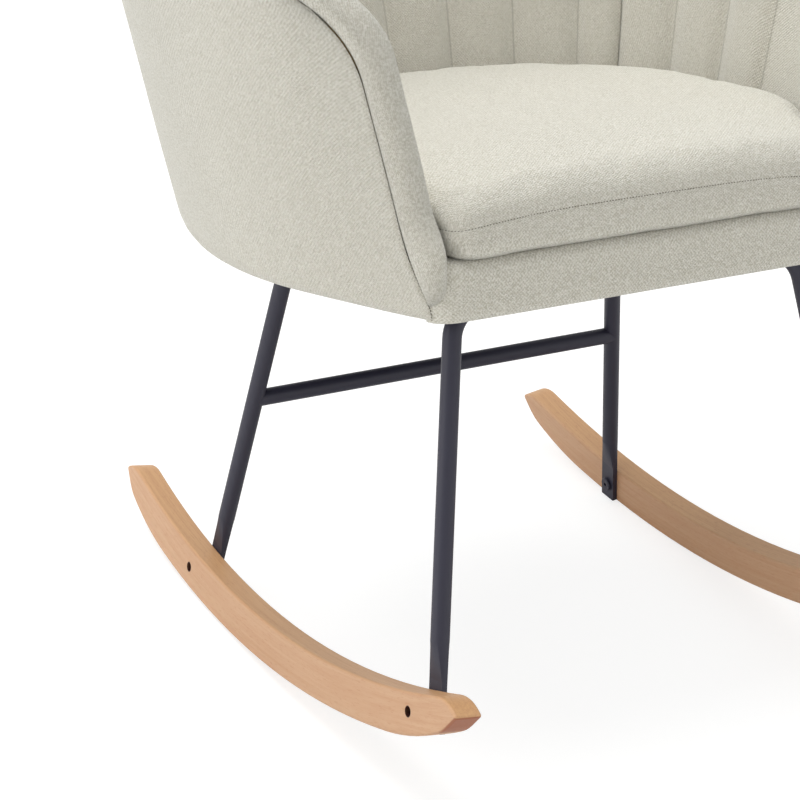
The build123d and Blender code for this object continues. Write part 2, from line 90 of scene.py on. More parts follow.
class ChairSizes(bpy.types.PropertyGroup):
    """Sizes of the upholstery, measured on the chair drawn upright, and how far it then rolls back to rest."""
    roll_back: angle("Roll back", "How far the chair rolls back on its rockers to come to rest", 3.6)
    rocker_hub: length("Rocker hub height", "Height of the middle of the rockers' circle", 1070.25)
    rocker_lean: angle("Rocker lean", "Inward lean of the rockers", 9)
    front_bolt: point("Front bolt", "Where the right front bolt's bore ends, at rest", (232.13, -379.12, 93.07))
    rear_bolt: point("Rear bolt", "Where the right rear bolt's bore ends, at rest", (239.04, 58.27, 21.81))
    base_height: length("Seat base height", "Height of the upholstery's lower edge", 386)
    front_y: length("Front plane", "Place of the tub's front corners, front to back", -285)
    front_half: length("Half front width", "Half the tub's width at its front corners", 199)
    front_flare: angle("Front flare", "Outward lean of the front corners", 7.5)
    shell_radius: length("Shell radius", "Radius of the tub's round plan at its base", 289)
    shell_centre: length("Shell centre", "Place of the round plan's middle at its base", -51)
    shell_flare: angle("Shell flare", "Outward lean of the tub's outside", 11.7)
    shell_recline: angle("Shell recline", "Backward lean of the tub's outside", 2.2)
    space_radius: length("Space radius", "Radius of the seat space at its base", 236.5)
    space_centre: length("Space centre", "Place of the seat space's middle at its base", -88)
    space_flare: angle("Space flare", "Outward lean of the tub's inside", 14)
    space_recline: angle("Space recline", "Backward lean of the tub's inside", 3.9)
    space_front_half: length("Half space width", "Half the seat space's width at its front", 170)
    space_front_flare: angle("Space front flare", "Outward lean of the seat space's front", 9.1)
    side_turn: angle("Side turn", "Where the straight sides meet the round back, from square to the middle plane", 30)
    side_lines: angles("Side lines", "Sewn lines of the sides' channels, round from straight right", (3.8, 16, 28.2))
    back_seam: angle("Back seam", "Seam between side and back, round from straight right", 40.3)
    back_lines: angles("Back lines", "Sewn lines of the back's channels, up to its middle", (49.2, 62.8, 76.4, 90))
    channel_depth: length("Channel depth", "How far a channel swells from its seams", 9)
    rim_front_y: length("Rim foot", "Place of the rim's foot, front to back", -278.7)
    rim_knee_y: length("Rim knee", "Place of the rim's knee over the foot", -262)
    rim_knee_height: length("Rim knee height", "Height of the knee over the base", 64)
    rim_knee_round: length("Rim knee round", "Radius at the knee", 90)
    arm_front_y: length("Arm front", "Place of the arm's front edge", -256)
    arm_height: length("Arm height", "Height of the arm's front over the base", 264)
    arm_front_round: length("Arm round", "Radius at the arm's front", 66)
    arm_slope: angle("Arm slope", "Rise of the arm toward the back", 8)
    arm_length: length("Arm length", "Length of the arm's gentle stretch", 190)
    wing_round: length("Wing round", "Radius where the arm turns up into the wing", 170)
    wing_slope: angle("Wing slope", "Rise of the wing", 48)
    back_height: length("Back height", "Height of the back's corners over the base", 540)
    back_top_round: length("Back round", "Radius at the back's corners", 150)
    back_top_slope: angle("Back top slope", "Rise of the rim over the back", 7)
    seam_tip_y: length("Seam tip", "Place of the sewn line where the band's tongue ends", -280.3)
    seam_tip_rise: length("Seam tip height", "Height of the tongue's end over the base", 13)
    seam_knee_y: length("Seam knee", "Place of the sewn line's knee", -267.2)
    seam_knee_height: length("Seam knee height", "Height of the sewn line's knee over the base", 47)
    seam_knee_round: length("Seam knee round", "Radius of the sewn line at its knee", 200)
    seam_front_y: length("Seam front", "Place of the sewn line's corner at the arm's front", -248)
    seam_round: length("Seam round", "Radius of the sewn line at the arm's front", 95)
    deck_height: length("Deck height", "Height of the webbing's top, which the cushion lies on", 431.7)
    cushion_overhang: length("Cushion overhang", "How far the cushion's front stands out of the tub", 11)
    cushion_corner: length("Cushion corner", "Radius of the cushion's front corners", 22)
    cushion_side: length("Cushion side", "Height of the cushion's seam over its underside", 34)
    cushion_crown: length("Cushion crown", "Height of the cushion's crown over its seam", 28)
    cushion_tilt: angle("Cushion tilt", "Fall of the cushion's top toward the back", 2)
    stitch_pitch: length("Stitch pitch", "Distance from one stitch to the next", 2.7)


class ChairColours(bpy.types.PropertyGroup):
    """Colours of the chair's finishes."""
    linen: colour("Linen", "Mean colour of the upholstery cloth", "#D3D0C4")
    linen_shade: colour("Linen shade", "The cloth's darker yarn", "#B9B4A4")
    linen_light: colour("Linen light", "The cloth's paler yarn", "#E2DFD5")
    thread: colour("Thread", "Sewing thread in the seams", "#6F6A5C")
    # the wide and narrow faces of the one beech get two colours as painted light: the wide faces paler and greyer,
    # the narrow faces more golden
    beech: colour("Beech", "Mean colour of the rockers' wide faces", "#C49C79")
    beech_narrow_face_painted_light: colour("Beech edges", "Mean colour of the rockers' narrow faces", "#CFA272")
    beech_dark: colour("Beech dark", "Late wood and flecks in the beech", "#B3815C")
    # end grain darkened by lacquer, with painted shade on the downward faces under the tips
    beech_end_grain_and_shade: colour("Beech ends", "End grain under the rockers' tips", "#985B3C")
    # painted shade: the bores' walls are darkened to stand for the shade deep in the holes
    beech_bore_painted_shade: colour("Beech bores", "Bare wood in the bolts' bores", "#40211A")
    powder_coat: colour("Powder coat", "Paint on the legs", "#282736")
    zinc: colour("Zinc", "Plated nuts", "#A9ABAE")
    frame_wood: colour("Frame wood", "Ply and rails inside the seat", "#C8A878")
    dust_cloth: colour("Dust cloth", "Non-woven cloth under the seat", "#26262A")
    floor: colour("Floor", "Floor and backdrop", "#F4F4F2")


def fill(node, inputs):
    """Set a node's sockets, or link them to other nodes' outputs."""
    for socket, value in inputs.items():
        if isinstance(value, bpy.types.NodeSocket):
            node.id_data.links.new(value, node.inputs[socket])
        else:
            node.inputs[socket].default_value = value


def add_node(tree, kind, inputs=None, out=0, **settings):
    """Add a shader node, set its options, fill its sockets, and give one of its outputs."""
    made = tree.nodes.new("ShaderNode" + kind)
    for name, value in settings.items():
        setattr(made, name, value)
    fill(made, inputs or {})
    return made.outputs[out]


def new_finish(name):
    """An empty node material and its Principled shader."""
    finish = bpy.data.materials.new(name)
    finish.use_nodes = True
    tree = finish.node_tree
    return finish, tree, tree.nodes["Principled BSDF"]


def linen_cloth(colours, name="woven_linen_look_polyester", sewn=False, fleck_spread=0.36):
    """Woven linen-look polyester, slack-twisted yarn in a fine twill: matt, mottled by pale and dark slubs.

    The narrower the spread, the harder pale and dark yarns part. Sewn cloth shows a line at each whole of "channel".
    """
    finish, tree, shader = new_finish(name)
    hatch_pitch, slub_size, grain_size = 2.2 * MM, 9 * MM, 1.8 * MM  # coarser than the real 0.5 mm yarn, to show
    mean_fleck = 0.66
    place = add_node(tree, "TexCoord", out="Object")
    weave = add_node(tree, "UVMap", uv_map="weave")
    turned = add_node(tree, "Mapping", {"Vector": weave, "Scale": (-1, 1, 1)})
    warp, weft = (add_node(tree, "TexWave", {
        "Vector": lie, "Scale": DIAGONAL_WAVE / hatch_pitch, "Distortion": 4.0, "Detail": 2.0, "Detail Scale": 2.5,
    }, out="Fac", wave_type="BANDS", bands_direction="DIAGONAL") for lie in (weave, turned))
    hatch = add_node(tree, "Math", {0: warp, 1: weft}, operation="ADD")
    grain = add_node(tree, "TexNoise", {"Vector": place, "Scale": 1 / grain_size, "Detail": 3.0, "Roughness": 0.65})
    slub = add_node(tree, "TexNoise", {"Vector": place, "Scale": 1 / slub_size, "Detail": 4.0, "Roughness": 0.6})
    fleck = add_node(tree, "Math", {0: hatch, 1: 0.16, 2: grain}, operation="MULTIPLY_ADD")
    speckle = add_node(tree, "MapRange", {
        "Value": fleck, "From Min": mean_fleck - fleck_spread / 2, "From Max": mean_fleck + fleck_spread / 2})
    yarn = add_node(tree, "Mix", {
        0: speckle, 6: colours.linen_shade, 7: colours.linen_light}, out=2, data_type="RGBA")
    drift = add_node(tree, "MapRange", {
        "Value": slub, "From Min": 0.3, "From Max": 0.7, "To Min": 0.1, "To Max": 0.4})
    surface = add_node(tree, "Mix", {0: drift, 6: yarn, 7: colours.linen}, out=2, data_type="RGBA")
    if sewn:
        seam_half_width = 0.02  # of a channel some 57 mm wide
        channel = add_node(tree, "Attribute", out="Fac", attribute_name="channel")
        off_seam = add_node(tree, "Math", {0: channel, 1: 0.5}, operation="PINGPONG")
        line = add_node(tree, "MapRange", {
            "Value": off_seam, "From Min": 0.3 * seam_half_width, "From Max": seam_half_width,
            "To Min": 0.3, "To Max": 0.0})
        surface = add_node(tree, "Mix", {0: line, 6: surface, 7: colours.thread}, out=2, data_type="RGBA")
    height = add_node(tree, "Math", {0: hatch, 1: 0.35, 2: grain}, operation="MULTIPLY_ADD")
    bump = add_node(tree, "Bump", {"Height": height, "Strength": 1.0, "Distance": 0.9 * MM})
    fill(shader, {
        "Base Color": surface, "Normal": bump, "Roughness": 0.92, "Specular IOR Level": 0.2,
        "Sheen Weight": 0.3, "Sheen Tint": (0.85, 0.92, 1.0, 1.0), "Sheen Roughness": 0.5})
    return finish


def beech_wood(colours):
    """Steamed beech, planed and clear lacquered: straight pale grain with short dark ray flecks."""
    finish, tree, shader = new_finish("lacquered_beech")
    grain_width, grain_length, fleck_width, fleck_length = 3 * MM, 150 * MM, 0.9 * MM, 8 * MM
    place = add_node(tree, "TexCoord", out="Object")
    bent = along_rocker(tree, place)
    along = add_node(tree, "Mapping", {
        "Vector": bent, "Scale": (1 / grain_width, 1 / grain_length, 1 / grain_width)})
    grain = add_node(tree, "TexNoise", {
        "Vector": along, "Scale": 1.0, "Detail": 5.0, "Roughness": 0.6, "Distortion": 0.3})
    across = add_node(tree, "Mapping", {
        "Vector": bent, "Scale": (1 / fleck_width, 1 / fleck_length, 1 / fleck_width)})
    fleck = add_node(tree, "TexNoise", {"Vector": across, "Scale": 1.0, "Detail": 1.0, "Roughness": 0.5})
    late = add_node(tree, "MapRange", {"Value": grain, "From Min": 0.35, "From Max": 0.75, "To Max": 0.55})
    rays = add_node(tree, "MapRange", {"Value": fleck, "From Min": 0.58, "From Max": 0.72, "To Max": 0.55})
    # which way a face turns picks between the two beech colours, painted light rather than a change in the wood
    facing = add_node(tree, "SeparateXYZ", {0: add_node(tree, "TexCoord", out="Normal")}, out="X")
    wide_face_painted_light_share = add_node(tree, "Math", {0: facing}, operation="ABSOLUTE")
    surface = colours.beech_narrow_face_painted_light
    # the downward tip faces and the bores' walls are darkened by these mixes, partly and wholly painted shade
    for share, tone in ((wide_face_painted_light_share, colours.beech), (late, colours.beech_dark), (rays, colours.beech_dark),
                        (end_grain_and_shade(tree, place), colours.beech_end_grain_and_shade), (bore_painted_shade(tree, place), colours.beech_bore_painted_shade)):
        surface = add_node(tree, "Mix", {0: share, 6: surface, 7: tone}, out=2, data_type="RGBA")
    gloss = add_node(tree, "MapRange", {"Value": grain, "To Min": 0.38, "To Max": 0.52})
    bump = add_node(tree, "Bump", {"Height": fleck, "Strength": 0.15, "Distance": 0.2 * MM})
    fill(shader, {"Base Color": surface, "Roughness": gloss, "Normal": bump})
    return finish


def along_rocker(tree, place):
    """A place on a rocker as distance across it, along its curve and out from the middle of its circle."""
    hub = sizes().rocker_hub
    x, y, z = add_node(tree, "SeparateXYZ", {0: place}).node.outputs
    down = add_node(tree, "Math", {0: hub, 1: z}, operation="SUBTRACT")
    turn = add_node(tree, "Math", {0: y, 1: down}, operation="ARCTAN2")
    run = add_node(tree, "Math", {0: turn, 1: hub}, operation="MULTIPLY")
    spoke = add_node(tree, "CombineXYZ", {1: y, 2: down})
    out = add_node(tree, "VectorMath", {0: spoke}, out="Value", operation="LENGTH")
    return add_node(tree, "CombineXYZ", {0: x, 1: run, 2: out})


def end_grain_and_shade(tree, place):
    """1 under a rocker's tips, on faces turned down and along the rocker, and 0 elsewhere. The cut ends of the grain
    there soak up more lacquer, and the dark tone is also painted shade on these downward faces.
    """
    facing = add_node(tree, "TexCoord", out="Normal")
    spoke = add_node(tree, "VectorMath", {0: place, 1: (0, 0, sizes().rocker_hub)}, operation="SUBTRACT")
    curve = add_node(tree, "VectorMath", {0: spoke, 1: (1, 0, 0)}, operation="CROSS_PRODUCT")
    shares = []
    for way, least, most in ((curve, 0.12, 0.3), (spoke, 0.1, 0.4)):
        unit = add_node(tree, "VectorMath", {0: way}, operation="NORMALIZE")
        size = add_node(tree, "VectorMath", {0: unit, 1: facing}, out="Value", operation="DOT_PRODUCT")
        if way is curve:
            size = add_node(tree, "Math", {0: size}, operation="ABSOLUTE")
        shares.append(add_node(tree, "MapRange", {"Value": size, "From Min": least, "From Max": most}))
    return add_node(tree, "Math", {0: shares[0], 1: shares[1]}, operation="MULTIPLY")


def bore_painted_shade(tree, place):
    """1 inside the bolts' bores, whose walls get a dark brown as painted shade, and 0 elsewhere."""
    s = sizes()
    bore_radius, wall = 4.65 * MM, 0.45 * MM
    lean = (cos(s.rocker_lean), 0, sin(s.rocker_lean))
    x, y, z = add_node(tree, "SeparateXYZ", {0: place}).node.outputs
    side = add_node(tree, "Math", {0: x}, operation="ABSOLUTE")
    folded = add_node(tree, "CombineXYZ", {0: side, 1: y, 2: z})
    gaps = []
    for bolt in (s.front_bolt, s.rear_bolt):
        off = add_node(tree, "VectorMath", {0: folded, 1: tuple(bolt)}, operation="SUBTRACT")
        across = add_node(tree, "VectorMath", {0: off, 1: lean}, operation="CROSS_PRODUCT")
        gaps.append(add_node(tree, "VectorMath", {0: across}, out="Value", operation="LENGTH"))
    nearest = add_node(tree, "Math", {0: gaps[0], 1: gaps[1]}, operation="MINIMUM")
    return add_node(tree, "MapRange", {
        "Value": nearest, "From Min": bore_radius, "From Max": bore_radius + wall, "To Min": 1.0, "To Max": 0.0})


def powder_coat(colours):
    """Black powder coat baked on steel: satin, with a fine orange-peel texture and slightly worn tone."""
    finish, tree, shader = new_finish("black_powder_coat")
    peel_size, tone_size = 1.2 * MM, 40 * MM  # the peel is drawn twice its real size, to show
    place = add_node(tree, "TexCoord", out="Object")
    peel = add_node(tree, "TexNoise", {"Vector": place, "Scale": 1 / peel_size, "Detail": 2.0})
    tone = add_node(tree, "TexNoise", {"Vector": place, "Scale": 1 / tone_size, "Detail": 3.0})
    gloss = add_node(tree, "MapRange", {"Value": tone, "To Min": 0.42, "To Max": 0.58})
    paint = add_node(tree, "Mix", {
        0: tone, 6: colours.powder_coat, 7: shade(colours.powder_coat, 1.25)}, out=2, data_type="RGBA")
    bump = add_node(tree, "Bump", {"Height": peel, "Strength": 0.2, "Distance": 0.1 * MM})
    fill(shader, {"Base Color": paint, "Roughness": gloss, "Normal": bump})
    return finish


def grained(name, base, dark_share, grain, roughness, metallic=0.0):
    """A plain finish mottled from a colour to a darker share of it. Grain is the mottle's size along each axis."""
    finish, tree, shader = new_finish(name)
    place = add_node(tree, "TexCoord", out="Object")
    scaled = add_node(tree, "Mapping", {"Vector": place, "Scale": tuple(1 / size for size in grain)})
    mottle = add_node(tree, "TexNoise", {"Vector": scaled, "Scale": 1.0, "Detail": 4.0, "Roughness": 0.6})
    tones = add_node(tree, "Mix", {0: mottle, 6: base, 7: shade(base, dark_share)}, out=2, data_type="RGBA")
    bump = add_node(tree, "Bump", {"Height": mottle, "Strength": 0.3, "Distance": 0.3 * MM})
    fill(shader, {"Base Color": tones, "Normal": bump, "Roughness": roughness, "Metallic": metallic})
    return finish


def shade(base, share):
    """A colour darkened, or lightened, to a share of itself."""
    return tuple(share * c for c in base[:3]) + (1.0,)


def sizes():
    """The chair's sizes, kept on the scene."""
    return bpy.context.scene.chair_sizes


def colours():
    """The chair's colours, kept on the scene."""
    return bpy.context.scene.chair_colours


def rest_pose(s):
    """Rolls what is drawn upright back on the rockers, about the middle of their circle."""
    hub = Matrix.Translation((0, 0, s.rocker_hub))
    return hub @ Matrix.Rotation(-s.roll_back, 4, "X") @ hub.inverted()


def ease(x):
    """A smooth step from 0 to 1."""
    x = min(max(x, 0.0), 1.0)
    return x * x * (3 - 2 * x)


def plan(s, face, z):
    """Front half width, radius and centre of the tub's outside or inside face at a height."""
    up = z - s.base_height
    if face == "outside":
        return (s.front_half + up * tan(s.front_flare), s.shell_radius + up * tan(s.shell_flare),
                s.shell_centre + up * tan(s.shell_recline))
    return (s.space_front_half + up * tan(s.space_front_flare), s.space_radius + up * tan(s.space_flare),
            space_middle(s, z))


def space_middle(s, z):
    """Place of the seat space's middle at a height."""
    return s.space_centre + (z - s.base_height) * tan(s.space_recline)


def straight_run(s, face, z):
    """The ends of a face's straight run at a height: its front corner, and where it meets the round."""
    half, radius, centre = plan(s, face, z)
    return (half, s.front_y), (radius * cos(s.side_turn), centre - radius * sin(s.side_turn))


def wall_x(s, face, y, z):
    """How far out a face stands at a place front to back and a height."""
    (half, front), (side_x, side_y) = straight_run(s, face, z)
    if y < side_y:
        return half + (y - front) / (side_y - front) * (side_x - half)
    _, radius, centre = plan(s, face, z)
    return sqrt(max(radius**2 - (y - centre) ** 2, 0))


def wall_point(s, face, turn, z):
    """The point of a face at an angle round the seat space, from straight right, and a height."""
    _, radius, centre = plan(s, face, z)
    middle = space_middle(s, z)
    ahead = centre - middle
    out = ahead * sin(turn) + sqrt(radius**2 - (ahead * cos(turn)) ** 2)
    x, y = out * cos(turn), middle + out * sin(turn)
    (half, front), (side_x, side_y) = straight_run(s, face, z)
    if y < side_y:
        run_x, run_y = side_x - half, side_y - front
        out = (half * run_y - (front - middle) * run_x) / (cos(turn) * run_y - sin(turn) * run_x)
        x, y = out * cos(turn), middle + out * sin(turn)
    return Vector((x, y, z))


class Rim:
    """The rim seen from the side: up the arm's front edge to its corner, then along arm, wing and back.

    As a seam it is the line on the outside where the band is sewn on, rounder at the arm's front than the rim.
    """

    steps = 12  # points round a corner

    def __init__(self, s, inset, seam=False):
        """Round the line's corners, the line moved in from the rim by an inset."""
        base = s.base_height
        arm_top = Vector((s.arm_front_y, base + s.arm_height))
        wing_foot = arm_top + Vector((s.arm_length, s.arm_length * tan(s.arm_slope)))
        foot, knee = Vector((s.rim_front_y, base)), Vector((s.rim_knee_y, base + s.rim_knee_height))
        knee_round, arm_round = s.rim_knee_round, s.arm_front_round
        if seam:
            foot = Vector((s.seam_tip_y, base + s.seam_tip_rise))
            knee = Vector((s.seam_knee_y, base + s.seam_knee_height))
            shift = s.seam_front_y - s.arm_front_y
            arm_top += Vector((shift, shift * tan(s.arm_slope)))
            knee_round, arm_round = s.seam_knee_round, s.seam_round
        rise = base + s.back_height - wing_foot.y
        crown = wing_foot + Vector((rise / tan(s.wing_slope), rise))
        far = crown + Vector((1, tan(s.back_top_slope)))
        corners = [foot, knee, arm_top, wing_foot, crown, far]
        radii = [knee_round, arm_round, s.wing_round, s.back_top_round]
        self.heights = {}
        self.line = [self.drawn_in(foot, knee, inset)]
        for index, radius in enumerate(radii, start=1):
            before, corner, after = corners[index - 1:index + 2]
            into, out = (corner - before).normalized(), (after - corner).normalized()
            turn = into.angle_signed(out)
            reach = radius * tan(abs(turn) / 2)
            side = -1 if turn < 0 else 1
            middle = corner - into * reach + Vector((into.y, -into.x)) * radius * side
            grown = radius - inset * side
            for step in range(self.steps + 1):
                swing = turn * step / self.steps
                spoke = Vector((-into.y, into.x)) * side
                spoke.rotate(Matrix.Rotation(-swing, 2))
                self.line.append(middle + spoke * grown)
            if index == 2:
                self.corner = len(self.line) - 1 - self.steps // 2
        self.line.append(self.drawn_in(far, far + (far - crown), inset))

    @staticmethod
    def drawn_in(start, end, inset):
        """The start of a line, moved in from the rim."""
        along = (end - start).normalized()
        return start + Vector((along.y, -along.x)) * inset

    def front_y(self, z):
        """Place of the arm's front edge at a height up to the arm's corner."""
        return self.across(self.line[:self.corner + 1], z, 1, 0)

    def height(self, y):
        """Height of the rim over the arm and back."""
        return self.across(self.line[self.corner:], y, 0, 1)

    @staticmethod
    def across(points, value, known, wanted):
        """One coordinate of a line where its other one has a value."""
        for start, end in zip(points, points[1:]):
            if value <= end[known]:
                break
        share = (value - start[known]) / (end[known] - start[known])
        return start[wanted] + max(share, 0) * (end[wanted] - start[wanted])

    def height_at(self, s, face, turn):
        """Height of the rim where it crosses a face at an angle round the seat space."""
        if (face, turn) not in self.heights:
            z = self.line[self.corner].y
            for _ in range(40):  # halves the error each time, until rim and face meet
                z = 0.5 * z + 0.5 * self.height(wall_point(s, face, turn, z).y)
            self.heights[face, turn] = z
        return self.heights[face, turn]

    def corner_turn(self, s, face):
        """Angle round the seat space of the arm's corner, on a face."""
        y, z = self.line[self.corner]
        return atan2(y - space_middle(s, z), wall_x(s, face, y, z))

    def front_turn(self, s, face, z):
        """Angle round the seat space of the arm's front edge, on a face."""
        y = self.front_y(z)
        return atan2(y - space_middle(s, z), wall_x(s, face, y, z))


def grid_piece(columns, rows, place):
    """A bmesh grid bent to a surface, its weave laid flat: place takes shares along and up, and gives the point."""
    bm = bmesh.new()
    bmesh.ops.create_grid(bm, x_segments=columns, y_segments=rows, size=1)
    weave = bm.loops.layers.uv.new("weave")
    shares = {v: ((v.co.x + 1) / 2, (v.co.y + 1) / 2) for v in bm.verts}
    measured_up, measured_along = 0.6, 0.5  # where the cloth's width and height are measured
    runs = lengths_along([place(i / columns, measured_up) for i in range(columns + 1)])
    rises = lengths_along([place(measured_along, i / rows) for i in range(rows + 1)])
    for face in bm.faces:
        for loop in face.loops:
            along, up = shares[loop.vert]
            loop[weave].uv = (at_share(runs, along), at_share(rises, up))
    for v, (along, up) in shares.items():
        v.co = place(along, up)
    bm.normal_update()
    return bm, shares


def lengths_along(points):
    """Length of a line from its start to each of its points."""
    lengths = [0.0]
    for before, point in zip(points, points[1:]):
        lengths.append(lengths[-1] + (point - before).length)
    return lengths


def at_share(values, share):
    """The value at a share of the way through a list."""
    at = share * (len(values) - 1)
    index = min(int(at), len(values) - 2)
    return values[index] + (values[index + 1] - values[index]) * (at - index)


def lift_off(bm, shares, outward, lift):
    """Move each point of a bent grid along its normal, on the side that outward points to."""
    bm.normal_update()
    sample = next(iter(bm.faces))
    if sample.normal.dot(outward(sample.calc_center_median())) < 0:
        bmesh.ops.reverse_faces(bm, faces=bm.faces)
        bm.normal_update()
    moves = {v: v.normal * lift(v.co, *shares[v]) for v in bm.verts}
    for v, move in moves.items():
        v.co += move


def count_channels(bm, count):
    """Keep on each point its place in channels, which the cloth's material draws a sewn line at each whole of."""
    layer = bm.verts.layers.float.new("channel")
    for v in bm.verts:
        v[layer] = count(v.co)


def thicken(bm, depth):
    """Give a one-sided sheet its thickness, inward, and close it."""
    bm.normal_update()
    bmesh.ops.solidify(bm, geom=bm.faces[:], thickness=depth)
    bmesh.ops.recalc_face_normals(bm, faces=bm.faces)


def finish_piece(bm, name, finish, nodes, body="chair", levels=1, smooth=True):
    """Turn a bmesh into a piece in the rest pose that stands for CAD nodes and rides on a body."""
    mesh = bpy.data.meshes.new(name)
    bm.to_mesh(mesh)
    bm.free()
    mesh.transform(rest_pose(sizes()))
    return finish_mesh(mesh, name, finish, nodes, body, levels, smooth)


def finish_mesh(mesh, name, finish, nodes, body="chair", levels=1, smooth=True):
    """Put a mesh that is already in place into the scene as a piece."""
    for polygon in mesh.polygons:
        polygon.use_smooth = smooth
    mesh.materials.append(finish)
    piece = bpy.data.objects.new(name, mesh)
    bpy.context.collection.objects.link(piece)
    if levels:
        rounding = piece.modifiers.new("rounding", "SUBSURF")
        rounding.levels = rounding.render_levels = levels
    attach(piece, body)
    if nodes:
        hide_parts(*nodes)
    return piece


def finish_tub(side, back, names, nodes, cloth):
    """Finish a tub's left side, its right-hand twin and its back as pieces."""
    twin = mirrored(side)
    return [finish_piece(bm, name, cloth, [node])
            for bm, name, node in zip((side, twin, back), names, nodes)]


def mirrored(bm):
    """A copy of a left-hand bmesh as its right-hand twin."""
    twin = bm.copy()
    bmesh.ops.scale(twin, vec=(-1, 1, 1), verts=twin.verts)
    bmesh.ops.reverse_faces(twin, faces=twin.faces)
    return twin


def ripple(point, size, depth):
    """Slight unevenness of stuffed cloth."""
    return depth * noise.noise(point / size)


def side_patch(s, face, inset, foot, plain_share=None, crowd=1.0):
    """Shares along and up a tub side to a point: from the arm's front edge to the back seam, foot to rim.

    With a plain share, that much of the way is the part before the channels, so that columns fall on sewn lines.
    A crowd over 1 draws columns toward the front edge and rows toward the rim.
    """
    rim = Rim(s, inset, seam=face == "outside")
    corner_z = rim.line[rim.corner].y
    first, last = rim.corner_turn(s, face), s.back_seam + SEAM_OVERLAP
    edge_reach = 0.35  # share of the way over which the front edge's curve fades out

    def turn_at(start, along):
        """Angle at a share of the way from the front edge to the back seam."""
        if plain_share is None:
            return start + (last - start) * along
        sewn = s.side_lines[0]
        if along < plain_share:
            return start + (sewn - start) * along / plain_share
        return sewn + (last - sewn) * (along - plain_share) / (1 - plain_share)

    def place(along, up):
        along, up = along**crowd, 1 - (1 - up)**crowd
        turn_top = turn_at(first, along)
        turn_foot_front = rim.front_turn(s, face, foot)
        turn_foot = turn_at(turn_foot_front, along)
        top = rim.height_at(s, face, turn_top)
        z = foot + (top - foot) * up
        turn = turn_foot + (turn_top - turn_foot) * up
        fade = max(0.0, 1 - along / edge_reach)
        front_z = foot + (corner_z - foot) * up
        edge = rim.front_turn(s, face, front_z) - (turn_foot_front + (first - turn_foot_front) * up)
        return mirror_x(wall_point(s, face, turn + edge * fade, z))

    return place


def back_patch(s, face, inset, foot, crowd=1.0):
    """Shares along and up the tub's back to a point: from the left seam to the right, foot to rim."""
    rim = Rim(s, inset)
    lines = [s.back_seam - SEAM_OVERLAP, *s.back_lines]
    lines += [pi - turn for turn in reversed(lines[:-1])]

    def place(along, up):
        turn = at_share(lines, 1 - along)
        folded = min(turn, pi - turn)
        up = 1 - (1 - up)**crowd
        z = foot + (rim.height_at(s, face, folded) - foot) * up
        point = wall_point(s, face, folded, z)
        return point if turn < pi / 2 else mirror_x(point)

    return place


def mirror_x(point):
    """A point on the chair's other side."""
    return Vector((-point.x, point.y, point.z))


def channel_place(s, turn):
    """Place of an angle in channels, a whole number on each sewn line: 0 on a side's first, less before it."""
    lines = [*s.side_lines, s.back_seam, *s.back_lines]
    after = min(max(sum(line <= turn for line in lines), 1), len(lines) - 1)
    place = after - 1 + (turn - lines[after - 1]) / (lines[after] - lines[after - 1])
    return max(place, -0.5)


def swell(share):
    """Height of a stuffed channel across its width: flat crest, steep at its seams."""
    return 1 - abs(2 * share - 1) ** 3.2


class CHAIR_OT_rockers(bpy.types.Operator):
    """Finish the rockers in lacquered beech"""
    bl_idname = "chair.rockers"
    bl_label = "Beech rockers"

    def execute(self, context):
        beech = beech_wood(colours())
        for name in ("left_rocker", "right_rocker"):
            dress(name, beech)
        return {"FINISHED"}


def dress(name, finish):
    """Give a CAD node its finish."""
    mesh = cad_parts[name].data
    mesh.materials.clear()
    mesh.materials.append(finish)


class CHAIR_OT_leg_frame(bpy.types.Operator):
    """Finish the leg hoops, stretcher, plates and bolts"""
    bl_idname = "chair.leg_frame"
    bl_label = "Black tube legs"

    def execute(self, context):
        coat = powder_coat(colours())
        for name in ("front_leg_hoop", "rear_leg_hoop", "rear_stretcher", "rocker_bolts", "seat_bolts",
                     "front_left_mount_plate", "front_right_mount_plate",
                     "rear_left_mount_plate", "rear_right_mount_plate"):
            dress(name, coat)
        zinc, dark, grain = colours().zinc, shade(colours().zinc, 0.08), (2 * MM,) * 3
        dress("seat_insert_nuts", grained("zinc_plated_steel", zinc, 0.8, grain, 0.4, metallic=1.0))
        # the sleeve nuts are nearly black, painted shade at the bottom of the bores
        dress("rocker_sleeve_nuts", grained("sleeve_nut_steel_painted_shade", dark, 0.6, grain, 0.5, metallic=1.0))
        return {"FINISHED"}


